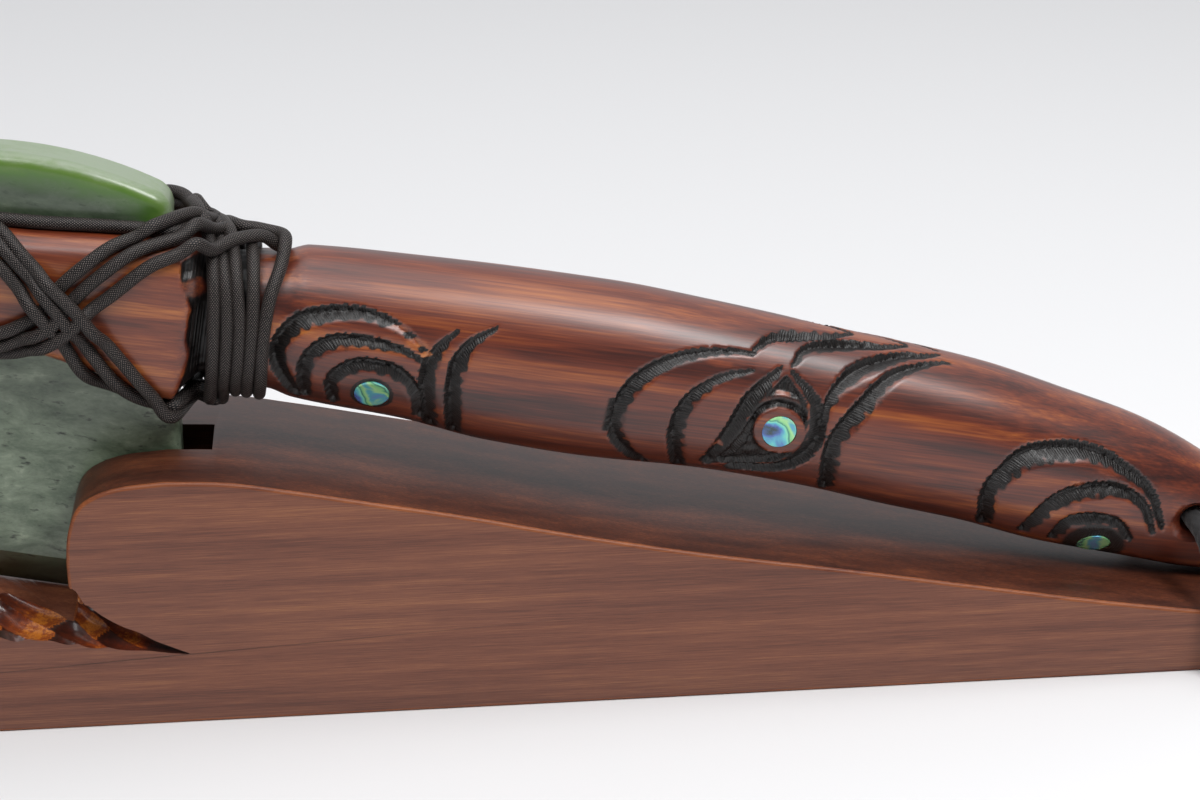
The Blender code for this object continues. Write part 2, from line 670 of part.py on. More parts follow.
def haft(where, cutters_parent):
    """The carved haft with its mortise, inlay seats and cord hole."""
    body = add_object("haft", haft_loft(), where, material("haft_wood", WOOD, 0.22))
    cutters = bpy.data.collections.new("haft_cutters")
    cutters_parent.children.link(cutters)
    width = STONE_THICKNESS + 2 * MORTISE_CLEARANCE
    mortise = slab_mesh("mortise_cutter", stone_outline(MORTISE_CLEARANCE), width)
    place_in_head(mortise)
    add_cutter("mortise_cutter", mortise, cutters)
    for side in (-1, 1):
        for stroke in STROKES:
            add_cutter("stroke_cutter", stroke_cutter(*stroke, side), cutters)
        for station, rise in EYES:
            low = -EYE_SUNK - EYE_THICKNESS - GAP
            frame = eye_frame(station, rise * MM, side)
            seat = disc_mesh("eye_seat_cutter", EYE_DIAMETER / 2 + GAP, low, EYE_DIAMETER / 2, frame)
            add_cutter("eye_seat_cutter", seat, cutters)
    bore = WRIST_CORD_DIAMETER / 2 + HOLE_CLEARANCE
    reach = haft_section(HOLE_STATION)[2]
    depths = [-reach - HOLE_FLARE, -reach + HOLE_FLARE, reach - HOLE_FLARE, reach + HOLE_FLARE]
    radii = [bore + 2 * HOLE_FLARE, bore, bore, bore + 2 * HOLE_FLARE]
    places = [hole_middle() + Vector((0, y, 0)) for y in depths]
    hole = tube_mesh("cord_hole_cutter", places, radii, rings=2)
    add_cutter("cord_hole_cutter", hole, cutters)
    cut(body, cutters)
    return body


def eyes(where):
    """Three shell discs on each side of the haft."""
    shell = material("paua_shell", PAUA, 0.12)
    for side, word in ((-1, "near"), (1, "far")):
        for number, (station, rise) in enumerate(EYES):
            name = f"paua_eye_{word}_{number + 1}"
            frame = eye_frame(station, rise * MM, side)
            mesh = disc_mesh(name, EYE_DIAMETER / 2, -EYE_SUNK - EYE_THICKNESS, -EYE_SUNK, frame)
            add_object(name, mesh, where, shell, smooth=False)


def under_head(station):
    """How low a cord that passes under the head reaches at a station."""
    middle, half_height = haft_section(station)[:2]
    return middle - half_height - LASHING_STANDOFF - LASHING_DIAMETER


def girdle_half():
    """The near half of the cord that girds the blade, from behind the head to its front."""
    lift = LASHING_DIAMETER / 2 + LASHING_STANDOFF
    return [(-RIDGES[0], 1.0), *((s, beside_blade(s, lift) + off) for s, off in GIRDLE)]


def rising_half(number, pitch):
    """The near half of a strand that rises over the head's face from under its left end."""
    start = -past_blade(under_head(-HEAD_STATION)) - (2 - number) * pitch
    return [(start, -1.0), (start + 0.1, -0.85), (start + 1.2, -0.69), *RISING[number]]


def falling_half(number, pitch):
    """The near half of a strand that falls over the head's face to pass under the neck."""
    low = past_blade(under_head(HEAD_STATION)) + pitch * number
    left = FALLING[number][0][0] - 0.9
    return [(left, 1.0), *FALLING[number], (low, -0.8), (low + 1.2, -0.9), (low + 1.6, -1.0)]


def mirrored(half, middle):
    """A whole loop from its near half, mirrored to the far side at the given way round."""
    return half + [(s, 2 * middle - v) for s, v in half[-2::-1]]


def lashing_loops():
    """Each closed loop of cord as (station, around, order); a later one lies over an earlier one."""
    pitch = (LASHING_DIAMETER + LASHING_SPACING) / MM
    loops = [[(s, v, -1) for s, v in mirrored(NECK_RING, 1)]]
    for turn, (ridge, wrap) in enumerate(zip(RIDGES, NECK_WRAPS)):
        half = girdle_half() if turn == 0 else rising_half(turn - 1, pitch)
        half = [*half, (ridge, 1.0), *wrap]
        middle = len(half) - 1
        whole = mirrored(half, 3)
        loops.append([(s, v, 2 * turn + (k > middle)) for k, (s, v) in enumerate(whole)])
    for number in range(len(FALLING)):
        half = falling_half(number, pitch)
        orders = [3.5 + 2 * number] * (len(half) - 3) + [-2, -2, -2]
        whole = [(s, v, order) for (s, v), order in zip(half, orders)]
        loops.append(whole[::-1] + [(s, 2 - v, order) for s, v, order in whole[1:]])
    return loops


def unrolled(loop, step):
    """A loop's points about a step apart, smooth on the haft's surface as if it were laid flat."""
    flat = [(s, (1 - v) * quarter_length(s), order) for s, v, order in loop]
    return [(s, 1 - g / quarter_length(s), order) for s, g, order in along_curve(flat, step)]


def over_and_under(lines):
    """How far each point of each line is lifted where the line lies over others."""
    girth = quarter_length(0)
    flat = [np.array([(s, v * girth, order) for s, v, order in line]) for line in lines]
    lift = LASHING_DIAMETER - LASHING_BITE
    lifts = [np.zeros(len(line)) for line in flat]
    for one, a in enumerate(flat):
        travel = np.concatenate([[0], np.cumsum(np.linalg.norm(np.diff(a[:, :2], axis=0), axis=1))])
        way_a = np.diff(a[:, :2], axis=0)[:, None]
        for b in flat:
            way_b = np.diff(b[:, :2], axis=0)[None]
            turn = way_a[..., 0] * way_b[..., 1] - way_a[..., 1] * way_b[..., 0]
            turn = np.where(np.abs(turn) < 1e-9, np.inf, turn)
            for wrap in (-8, -4, 0, 4, 8):
                start = (b[:-1, :2] + (0, wrap * girth))[None] - a[:-1, :2][:, None]
                on_a = (start[..., 0] * way_b[..., 1] - start[..., 1] * way_b[..., 0]) / turn
                on_b = (start[..., 0] * way_a[..., 1] - start[..., 1] * way_a[..., 0]) / turn
                over = (on_a >= 0) & (on_a < 1) & (on_b >= 0) & (on_b < 1)
                over &= a[:-1, 2][:, None] > b[:-1, 2][None]
                for i in np.flatnonzero(over.any(axis=1)):
                    away = np.abs(travel - travel[i]) * MM
                    rise = np.clip(2 - away / (1.13 * LASHING_DIAMETER), 0, 1)
                    lifts[one] = np.maximum(lifts[one], lift * rise * rise * (3 - 2 * rise))
    return lifts


def without_pockets(body):
    """The evaluated mesh of a body, with the pockets that are shut in between its turns filled."""
    mesh = bpy.data.meshes.new_from_object(body.evaluated_get(bpy.context.evaluated_depsgraph_get()))
    mesh.name = "lashing"
    shape = bmesh.new()
    shape.from_mesh(mesh)
    left = set(shape.verts)
    while left:
        shell, edge = set(), [left.pop()]
        while edge:
            corner = edge.pop()
            shell.add(corner)
            beside = [line.other_vert(corner) for line in corner.link_edges]
            edge += [other for other in beside if other in left]
            left.difference_update(beside)
        faces = {face for corner in shell for face in corner.link_faces}
        volume = sum(
            face.calc_center_median().dot(face.normal) * face.calc_area() / 3 for face in faces
        )
        if volume < 0:
            bmesh.ops.delete(shape, geom=list(shell), context="VERTS")
    shape.to_mesh(mesh)
    shape.free()
    return mesh


def lashing(where, cutters_parent):
    """The cord that binds blade and haft, all its turns joined into one body."""
    radius = LASHING_DIAMETER / 2
    base = radius + LASHING_STANDOFF
    lines = [unrolled(loop, 1.2) for loop in lashing_loops()]
    turns = []
    for line, lifts in zip(lines, over_and_under(lines)):
        places = [haft_point(s, v, base + lift) for (s, v, order), lift in zip(line, lifts)]
        keep = thinned(places, LASHING_TOLERANCE)[:-1]
        turns.append(tube_mesh("turn", [places[k] for k in keep], [radius] * len(keep), True, sides=4))
    body = add_object("first_turn", turns[0], cutters_parent)
    others = bpy.data.collections.new("lashing_turns")
    cutters_parent.children.link(others)
    for mesh in turns[1:]:
        add_cutter("lashing_turn", mesh, others)
    joined = body.modifiers.new("joined", "BOOLEAN")
    joined.operation = "UNION"
    joined.operand_type = "COLLECTION"
    joined.collection = others
    joined.solver = "EXACT"
    mesh = without_pockets(body)
    for turn in [body, *others.objects]:
        bpy.data.objects.remove(turn)
    return add_object("lashing", mesh, where, material("black_cord", BLACK_CORD, 0.55))


def wrist_cord(where):
    """The wrist cord: out of the hole, down to the floor, round the stand's end and back."""
    hole = hole_middle()
    radius = WRIST_CORD_DIAMETER / 2
    lay = radius + GAP
    end = stand_ends()[1]
    half = [
        (hole.x, -0.5, hole.z / MM), (hole.x, -7, hole.z / MM), (hole.x, -12, hole.z / MM),
        (hole.x + 0.6 * MM, -17.5, hole.z / MM - 1.2),
        (hole.x + 1.4 * MM, -23, hole.z / MM - 6), (hole.x + 2.2 * MM, -27, hole.z / MM - 13),
        (hole.x + 3.8 * MM, -29.5, hole.z / MM - 21), (hole.x + 7 * MM, -32, 6.5),
        (hole.x + 13 * MM, -35.5, lay / MM), (hole.x + 22 * MM, -40, lay / MM),
        (hole.x + 34 * MM, -43, lay / MM), (end + 8 * MM, -41, lay / MM), (end + 20 * MM, -33, lay / MM),
        (end + 28 * MM, -19, lay / MM), (end + 31 * MM, 0, lay / MM),
    ]
    route = [(x, y * MM, z * MM) for x, y, z in half]
    route += [(x, -y, z) for x, y, z in route[-2::-1]]
    course = along_curve(route, WRIST_CORD_STEP)
    mesh = tube_mesh("wrist_cord", course, [radius] * len(course), rings=2)
    return add_object("wrist_cord", mesh, where, material("plaited_cord", BLACK_CORD, 0.7))


def main():
    for old in list(bpy.data.objects):
        bpy.data.objects.remove(old, do_unlink=True)
    parts = collection("greenstone_axe")
    cutters = collection("cutters")
    stand(parts, cutters)
    greenstone(parts)
    haft(parts, cutters)
    eyes(parts)
    lashing(parts, cutters)
    wrist_cord(parts)


main()
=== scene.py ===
import math

import bpy
import numpy as np
from mathutils import Matrix, Vector


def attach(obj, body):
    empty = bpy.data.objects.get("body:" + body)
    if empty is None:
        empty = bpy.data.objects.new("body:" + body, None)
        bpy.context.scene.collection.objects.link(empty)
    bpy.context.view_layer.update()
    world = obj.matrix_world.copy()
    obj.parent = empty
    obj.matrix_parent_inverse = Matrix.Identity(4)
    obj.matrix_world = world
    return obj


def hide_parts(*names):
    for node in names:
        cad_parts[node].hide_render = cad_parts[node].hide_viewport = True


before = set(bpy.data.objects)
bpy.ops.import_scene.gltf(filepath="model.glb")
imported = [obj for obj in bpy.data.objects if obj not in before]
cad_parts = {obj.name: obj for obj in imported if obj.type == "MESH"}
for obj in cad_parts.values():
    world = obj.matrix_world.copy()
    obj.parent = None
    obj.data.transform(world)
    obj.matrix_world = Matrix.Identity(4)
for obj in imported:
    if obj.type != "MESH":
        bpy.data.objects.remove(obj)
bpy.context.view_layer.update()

MM = 0.001
GAP = 0.3 * MM
MERGE = 0.01 * MM
# How far apart the bands of a wave pattern are at a scale of one
WAVE_LENGTH = 0.31

# The stand
STAND_THICKNESS = 50 * MM
STAND_EDGE = 0.8 * MM
STAND_PAST_HEAD = 85 * MM
STAND_PAST_BUTT = 14 * MM
HUMP_HEIGHT = 62 * MM
HUMP_LENGTH = 41 * MM
VALLEY_WIDTH = 35.8 * MM
VALLEY_LIP = 9 * MM
VALLEY_CENTRE_DROP = 53.4 * MM
SEAT_HEIGHT = 28.2 * MM
SLOT_CLEARANCE = 0.5 * MM
SLOT_END_CLEARANCE = 9 * MM
SLOT_OVERSHOOT = 12 * MM
SCOOP_HALF_LENGTH = 44 * MM
SCOOP_HEIGHT = 24 * MM
SCOOP_DEPTH = 25 * MM
SCOOP_DIP = 3.6 * MM
SCOOP_FALL = 0.13
# The gouge's cuts in the scoops: length and width in millimetres, slant, and depth as a share
GOUGE_LENGTH = 20.0
GOUGE_WIDTH = 5.4
GOUGE_SLANT = math.radians(38)
GOUGE_RELIEF = 0.13
# The rings and the sides of a scoop's cutter
SCOOP_ROWS = 141
SCOOP_SIDES = 144
# How a scoop narrows: shares of its half length from the middle, and of its height
SCOOP_TAPER = [
    (0, 1), (0.23, 0.88), (0.43, 0.64), (0.48, 0.5), (0.59, 0.34), (0.72, 0.23), (0.84, 0.12), (1, 0.01),
]

# The stand's long slope as shares of its run and of its height, from the hump to the haft's rest
SLOPE = [
    (0, 1), (0.045, 0.987), (0.112, 0.922), (0.184, 0.838), (0.255, 0.756), (0.352, 0.629),
    (0.474, 0.487), (0.599, 0.366), (0.725, 0.236), (0.87, 0.0915), (0.973, 0.012), (1, 0),
]

# The greenstone blade
HEAD_TILT = math.radians(10)
STONE_THICKNESS = 13 * MM
STONE_EDGE_ROUNDING = 3 * MM
STONE_ARRIS = 0.5 * MM
# How deep the painted glow under the poll goes in
PAINTED_GLOW_REACH = 20 * MM
POLL_TOP = 32.2 * MM
POLL_RADIUS = 92 * MM
POLL_HALF_WIDTH = 33 * MM
POLL_CORNER = 6 * MM
BLADE_DROP = 74.1 * MM
BLADE_HALF_WIDTH = 46.3 * MM
BLADE_CORNER = 5 * MM
BLADE_SKEW = math.radians(2)
BEVEL_HEIGHT = 10 * MM
CUTTING_LAND = 0.4 * MM
MORTISE_CLEARANCE = 0.4 * MM

# The haft
HAFT_REACH = 310 * MM
HEAD_WOOD = 4.6 * MM

# The haft's side view: station along it, top, bottom, half width and squareness of its section
HAFT_STATIONS = [
    (-72, 6.0, -6.0, 5.0, 2.1),
    (-68, 12.0, -12.0, 10.0, 2.2),
    (-60, 16.0, -16.0, 13.0, 2.4),
    (-52, 15.5, -15.5, 12.5, 2.4),
    (-45, 15.0, -15.5, 12.5, 2.6),
    (-40, 17.2, -19.5, 15.5, 5.0),
    (-20, 16.4, -14.8, 16.0, 5.0),
    (0, 16.8, -11.2, 16.0, 5.0),
    (20, 18.2, -15.0, 16.0, 5.0),
    (38, 19.2, -19.8, 15.5, 5.0),
    (44, 15.6, -16.5, 12.5, 2.6),
    (59, 15.4, -16.8, 12.5, 2.3),
    (65, 17.4, -18.5, 13.8, 2.1),
    (90, 18.2, -20.4, 15.0, 2.1),
    (111, 18.5, -23.4, 15.6, 2.1),
    (135, 18.2, -24.5, 16.0, 2.1),
    (159, 16.5, -24.0, 15.8, 2.1),
    (184, 14.2, -25.2, 15.4, 2.1),
    (209, 12.0, -27.9, 15.6, 2.1),
    (226, 10.0, -29.4, 15.8, 2.1),
    (248, 5.6, -32.6, 15.4, 2.1),
    (267, 1.3, -33.9, 14.4, 2.1),
    (289, -7.4, -35.3, 12.0, 2.1),
    (302, -15.5, -34.6, 8.5, 2.1),
    (310, -23.5, -29.5, 3.0, 2.0),
]
HEAD_STATION = 41.2
NECK_STATION = 65
BUTT_STATION = 310
REST_STATION = 302
HAFT_SIDES = 196
# How many points measure a quarter of a section
QUARTER_POINTS = 120
# The rings that close each of the haft's ends, as shares of the last one
CAP_SHARES = [0.9, 0.7, 0.4, 0.0]
CAP_DEPTH = 0.25
# Where the haft is carved, its skin has a ring of points every half millimetre
CARVED_STRETCHES = [(33, 48), (58, 111), (136, 215), (227, 277)]
CARVED_STEP = 0.5
PLAIN_STEP = 2.0

# The wrist cord and its hole near the butt
HOLE_STATION = 283
HOLE_RISE = 1.0 * MM
HOLE_CLEARANCE = 1.2 * MM
HOLE_FLARE = 2.2 * MM
WRIST_CORD_DIAMETER = 5 * MM

# The lashing
LASHING_DIAMETER = 3 * MM
LASHING_SPACING = 0.15 * MM
LASHING_STANDOFF = 0.1 * MM
LASHING_BITE = 0.3 * MM
LASHING_STEP = 0.7
LASHING_SMOOTHING = 6

# The lashing's strands on the near side: station, and way round from the side (0) to the ridge (1)
# The girdle, by how far it stands off the blade's face
GIRDLE = [
    (-37, 0.1), (-34, -0.01), (-28, 0), (-16, 0), (0, 0), (16, 0), (28, 0), (34, -0.01), (37, 0.1),
]
RISING = [
    [
        (-38, -0.49), (-25, -0.43), (-12, -0.36), (-1, -0.29), (3.5, -0.2), (7.5, -0.08), (11, 0.17),
        (16, 0.37), (22.5, 0.54), (31, 0.67), (37, 0.85),
    ],
    [
        (-38, -0.58), (-25, -0.53), (-12, -0.47), (-0.5, -0.4), (6, -0.26), (10.5, -0.12), (14, 0.08),
        (18.5, 0.28), (25.5, 0.49), (36.5, 0.67), (42, 0.84),
    ],
    [
        (-38, -0.7), (-25, -0.66), (-12, -0.6), (-0.5, -0.5), (6.5, -0.37), (13, -0.19), (17, -0.01),
        (22, 0.17), (29.5, 0.43), (38, 0.58), (46, 0.76), (53, 0.92),
    ],
]
FALLING = [
    [
        (-48.7, 0.8), (-38, 0.6), (-26, 0.47), (-12, 0.39), (-5, 0.33), (-1.5, 0.26), (4.5, 0.03),
        (9, -0.12), (13.5, -0.3), (18, -0.5), (23, -0.65), (30, -0.71), (38, -0.72),
    ],
    [
        (-45.5, 0.8), (-36.5, 0.7), (-24, 0.57), (-12, 0.51), (-6, 0.48), (-2.5, 0.42), (5.5, 0.19),
        (12, -0.04), (18, -0.26), (24, -0.46), (30, -0.6), (37, -0.68),
    ],
    [
        (-42, 0.86), (-33, 0.74), (-22, 0.67), (-12, 0.64), (-6, 0.6), (-3, 0.53), (0, 0.44),
        (7, 0.25), (14.5, 0.05), (18.5, -0.08), (27.5, -0.34), (33, -0.49), (38.5, -0.62),
    ],
]
# Where the girdle and each rising strand cross the ridge, and their way down the neck's far side
RIDGES = [38.8, 41.5, 46, 58.7]
NECK_WRAPS = [
    [(43.5, 1.35), (44.5, 1.59), (45.5, 1.97), (46.5, 2.5), (46.7, 3)],
    [(45.5, 1.32), (47, 1.57), (48.5, 1.95), (49.3, 2.55), (49.5, 3)],
    [(48, 1.26), (49.5, 1.56), (51.2, 1.94), (52, 2.55), (52.2, 3)],
    [(58.6, 1.3), (57, 1.6), (56.6, 2), (57.4, 2.5), (57.6, 3)],
]
NECK_RING = [(54.9, -1), (54.6, -0.7), (53.9, 0.1), (53, 0.5), (51.8, 1)]

# The inlaid shell discs: station along the haft and millimetres up its side
EYE_DIAMETER = 8 * MM
EYE_THICKNESS = 1.5 * MM
EYE_SUNK = 0.2 * MM
EYE_CLEARANCE = 0.12 * MM
EYES = [(82.5, -10.7), (176.5, -2.3), (260.0, -14.4)]

# The carved strokes: width, the share of it left at each end, which side of its travel is the
# steep wall (1 left, -1 right), and places along and up the side
STROKES = [
    (4.6, 0.8, 0.35, 1, [(66, -15), (60.5, -4), (63.5, 4), (70, 7.5), (78, 9), (86.5, 7), (93.5, 2.2)]),
    (4.2, 0.8, 0.3, 1, [(68, -14.5), (67, -5), (71, 0.8), (79, 2.7), (87, 2.2), (93, 0.3)]),
    (4.2, 0.8, 0.8, 1, [
        (74.5, -15), (73.5, -8), (77.5, -3.6), (83, -2.8), (88, -4.2), (92, -8.5), (93.5, -15),
    ]),
    (4.4, 0.2, 0.9, -1, [(99.5, 9.2), (95.5, 3), (94.5, -5), (97.5, -19.5)]),
    (4.4, 0.2, 0.9, -1, [(108, 11.5), (102.5, 6), (100.5, -3), (103, -20)]),
    (4.4, 0.8, 0.25, 1, [
        (148, -21), (139.5, -10.3), (138.8, -2.4), (142, 4.5), (148.5, 9.9), (158, 13.6), (167.5, 14.9),
    ]),
    (4.4, 0.9, 0.2, 1, [(156.5, -20.2), (153, -7.5), (154.5, 1.5), (160.5, 7.7), (168, 11.1)]),
    (3.8, 0.4, 0.4, -1, [(167.5, 16), (172, 20.3), (179, 22.6), (186, 24.5), (192, 27.7)]),
    (5.4, 0.3, 0.9, -1, [(174.3, 12.4), (169.5, 5), (166, -5), (163, -15)]),
    (4.8, 0.3, 0.8, 1, [(177.3, 12), (183.3, 6), (184.6, -3), (179, -12), (168, -16)]),
    (4.2, 0.3, 0.35, 1, [(177.5, 14), (181, 18.7), (193, 22.8), (200, 24.6), (206, 27.7)]),
    (4.4, 0.4, 0.3, 1, [(186.7, 1.5), (187.4, 8.3), (193.5, 15.9), (204, 22.6), (209, 24.2), (214, 27)]),
    (4.8, 0.9, 0.25, 1, [(192, -17.5), (190.3, -3), (196, 8.7), (202, 16.7), (212, 22.7), (215, 24)]),
    (5.8, 0.8, 0.35, 1, [
        (232, -17), (230, -6.5), (232.5, 0), (237, 5.5), (246, 9.2), (254, 10.2), (262, 8), (269, 4.4),
        (274, -3),
    ]),
    (5.0, 0.8, 0.4, 1, [
        (242, -15), (244.7, -6.5), (248.7, -1.5), (255, 1.7), (261.5, 3), (268, 0.8), (272, -5),
    ]),
    (4.4, 0.8, 0.6, 1, [(249.7, -15), (251, -9), (256, -6.2), (262.5, -5.5), (267, -9)]),
]
# A stroke's depth as a share of its width, and where across it is lowest, from -1 to 1
STROKE_DEPTH = 0.38
STROKE_LOWEST = 0.42
# The teeth of its steep wall: millimetres apart, and their reach as a share of its half width
TOOTH_PITCH = 1.7
TOOTH_REACH = 0.32
# The chisel's marks across it: millimetres apart, and millimetres high
CHISEL_PITCH = 2.6
CHISEL_RELIEF = 0.2

# The sunk three-cornered field round the middle disc, in the same coordinates
FIELD = [
    (175.8, 12), (182, 6), (183.6, -3), (178.5, -11.5), (168, -15.5), (163, -15.5), (167, -5), (170.5, 5),
]
FIELD_DEPTH = 1.3
# Where the stain is worn off the carving: station, millimetres up the side, half length and half height
WORN = [
    (86.5, 7.2, 2.6, 1.1), (90.5, 4.7, 2.6, 1.1), (93.2, 2.2, 1.8, 0.9), (175.5, 7.2, 2.2, 0.8),
    (163.5, -9.5, 1.5, 1), (176, -13.2, 2.6, 0.7), (250.5, 2.3, 2, 1.3), (251.5, -3.4, 1.1, 0.7),
    (257, 7, 3.5, 0.8), (160, 11.2, 3.5, 0.7),
]
# The raised boss that the middle disc is let into, and the crescent over it, in millimetres
BOSS_RADIUS = 6.0
CRESCENT_RADIUS = 8.6

# The carved end of the head's face: millimetres up the side, and the station of its edge there
HEAD_END = [
    (-24, 32), (-21.5, 36), (-18.5, 38.2), (-11.8, 39.8), (-6, 40.4), (-1, 39.4), (5, 39.7), (8, 38.2),
    (12, 36.5), (16, 36.5), (19, 40), (26, 42),
]
# How deep the hollow beyond that edge is, and where a lump of wood is left in it
HEAD_END_DEPTH = 1.9
LUMP_PLACE = (40.5, 10)


def linear(hex_colour):
    """An sRGB hex colour as linear red, green, blue and alpha."""
    parts = [int(hex_colour[k : k + 2], 16) / 255 for k in (1, 3, 5)]
    return [c / 12.92 if c <= 0.04045 else ((c + 0.055) / 1.055) ** 2.4 for c in parts] + [1.0]


def set_sockets(tree, node, inputs):
    """Sets a node's inputs, or links them to a socket or to the first output in use of a node."""
    for name, value in inputs.items():
        if isinstance(name, str):
            socket = next(s for s in node.inputs if s.enabled and s.name == name)
        else:
            socket = node.inputs[name]
        if isinstance(value, bpy.types.Node):
            value = next(s for s in value.outputs if s.enabled)
        if isinstance(value, bpy.types.NodeSocket):
            tree.links.new(value, socket)
        else:
            socket.default_value = value


def add_node(tree, kind, inputs=None, stops=None, **settings):
    """A node with its settings, its colour ramp's stops and its inputs."""
    made = tree.nodes.new("ShaderNode" + kind)
    for name, value in settings.items():
        setattr(made, name, value)
    if stops:
        ramp = made.color_ramp.elements
        while len(ramp) < len(stops):
            ramp.new(0.5)
        for element, (place, colour) in zip(ramp, stops):
            element.position = place
            element.color = linear(colour)
    set_sockets(tree, made, inputs or {})
    return made


def new_material(name):
    """An empty material and its node tree with a Principled shader on the output."""
    made = bpy.data.materials.new(name)
    made.use_nodes = True
    made.node_tree.nodes.clear()
    shader = add_node(made.node_tree, "BsdfPrincipled")
    add_node(made.node_tree, "OutputMaterial", {"Surface": shader})
    return made, made.node_tree, shader


def per_metre(*sizes):
    """The scale that draws a pattern at these sizes, in millimetres."""
    return tuple(1 / (size * MM) for size in sizes)


def pick(piece):
    """Makes a piece the only selected one and the active one."""
    bpy.ops.object.select_all(action="DESELECT")
    piece.select_set(True)
    bpy.context.view_layer.objects.active = piece


def apply_modifier(piece, kind, **settings):
    pick(piece)
    made = piece.modifiers.new(kind.lower(), kind)
    for name, value in settings.items():
        setattr(made, name, value)
    bpy.ops.object.modifier_apply(modifier=made.name)


def turn_out(piece, merge=0.0):
    """Turns a mesh's faces outwards, after its doubles are merged where that is asked for."""
    pick(piece)
    bpy.ops.object.mode_set(mode="EDIT")
    bpy.ops.mesh.select_all(action="SELECT")
    if merge:
        bpy.ops.mesh.remove_doubles(threshold=merge)
    bpy.ops.mesh.normals_make_consistent(inside=False)
    bpy.ops.object.mode_set(mode="OBJECT")


def new_grid(rows, columns):
    """A flat grid that is to be rolled up, and the row and column of each of its vertices."""
    bpy.ops.object.select_all(action="DESELECT")
    bpy.ops.mesh.primitive_grid_add(x_subdivisions=rows - 1, y_subdivisions=columns - 1, size=1)
    piece = bpy.context.active_object
    flat = np.empty(len(piece.data.vertices) * 3)
    piece.data.vertices.foreach_get("co", flat)
    shares = flat.reshape(-1, 3) + 0.5
    row_of = np.rint(shares[:, 0] * (rows - 1)).astype(int)
    column_of = np.rint(shares[:, 1] * (columns - 1)).astype(int)
    return piece, row_of, column_of


def mark(piece, name, first, second):
    """Keeps two values of each vertex in a UV map."""
    corners = np.empty(len(piece.data.loops), int)
    piece.data.loops.foreach_get("vertex_index", corners)
    marks = np.stack([first, second], axis=-1)[corners]
    piece.data.uv_layers.new(name=name).data.foreach_set("uv", marks.ravel())


def finish_piece(piece, name, surface, slot, *nodes, smooth=40):
    """Names a piece, gives it its surface, sets it on the root body and hides the parts it stands for."""
    piece.name = name
    piece.data.name = name
    if surface:
        piece.data.materials.clear()
        piece.data.materials.append(surface)
    pick(piece)
    bpy.ops.object.shade_smooth_by_angle(angle=math.radians(smooth))
    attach(piece, "root")
    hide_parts(*nodes)
    return piece


def smoothstep(low, high, value):
    share = np.clip((value - low) / (high - low), 0, 1)
    return share * share * (3 - 2 * share)


def curve_value(rows, column, places):
    """A smooth curve through one column of rows, without overshoot between them."""
    rows = np.array(rows, float)
    xs, ys = rows[:, 0], rows[:, column]
    steps = np.diff(xs)
    slopes = np.diff(ys) / steps
    before = 2 * steps[1:] + steps[:-1]
    after = steps[1:] + 2 * steps[:-1]
    bends = np.concatenate([slopes[:1], np.zeros(len(slopes) - 1), slopes[-1:]])
    same = np.flatnonzero(slopes[:-1] * slopes[1:] > 0)
    whole = before[same] / slopes[same] + after[same] / slopes[same + 1]
    bends[same + 1] = (before[same] + after[same]) / whole
    places = np.clip(places, xs[0], xs[-1])
    k = np.clip(np.searchsorted(xs, places) - 1, 0, len(steps) - 1)
    t = (places - xs[k]) / steps[k]
    return (
        (1 + 2 * t) * (1 - t) ** 2 * ys[k]
        + t * (1 - t) ** 2 * steps[k] * bends[k]
        + t * t * (3 - 2 * t) * ys[k + 1]
        + t * t * (t - 1) * steps[k] * bends[k + 1]
    )


def along_curve(points, step):
    """Points about a step apart on a smooth curve through the given ones."""
    points = [np.array(p, float) for p in points]
    ends = [2 * points[0] - points[1], *points, 2 * points[-1] - points[-2]]
    fine = []
    for a, b, c, d in zip(ends, ends[1:], ends[2:], ends[3:]):
        count = max(1, math.ceil(np.linalg.norm(c - b) / step))
        t = (np.arange(count) / count)[:, None]
        bend = (2 * a - 5 * b + 4 * c - d) * t**2 + (3 * b - a - 3 * c + d) * t**3
        fine.append(0.5 * (2 * b + (c - a) * t + bend))
    return np.concatenate([*fine, points[-1][None]])


def poll_fillet():
    """The height of the middle of the fillet that turns the arched poll into the blade's side."""
    reach = POLL_HALF_WIDTH - POLL_CORNER
    return POLL_TOP - POLL_RADIUS + math.sqrt((POLL_RADIUS - POLL_CORNER) ** 2 - reach**2)


def blade_half_width(rise):
    """Half the blade's width at a height in the head's own plane, under its poll."""
    share = (poll_fillet() - rise) / (poll_fillet() + BLADE_DROP)
    return POLL_HALF_WIDTH + share * (BLADE_HALF_WIDTH - POLL_HALF_WIDTH)


HEAD_LENGTH = blade_half_width(0) + HEAD_WOOD
STAND_LENGTH = (
    STAND_PAST_HEAD
    + HAFT_REACH * math.cos(HEAD_TILT)
    + HAFT_STATIONS[-1][2] * MM * math.sin(HEAD_TILT)
    + STAND_PAST_BUTT
)
HEAD_PLACE = Vector(
    (
        STAND_PAST_HEAD - STAND_LENGTH / 2,
        0,
        SEAT_HEIGHT + GAP / math.cos(HEAD_TILT) + BLADE_DROP * math.cos(HEAD_TILT),
    )
)


def laid_out(station):
    """The distance along the haft of a station, which the head and the reach set between them."""
    size = np.abs(station)
    past = HEAD_LENGTH + (size - HEAD_STATION) * MM
    neck = HEAD_LENGTH + (NECK_STATION - HEAD_STATION) * MM
    share = (size - NECK_STATION) / (BUTT_STATION - NECK_STATION)
    beyond = np.where((station > 0) & (size > NECK_STATION), neck + share * (HAFT_REACH - neck), past)
    return np.sign(station) * np.where(size <= HEAD_STATION, size / HEAD_STATION * HEAD_LENGTH, beyond)


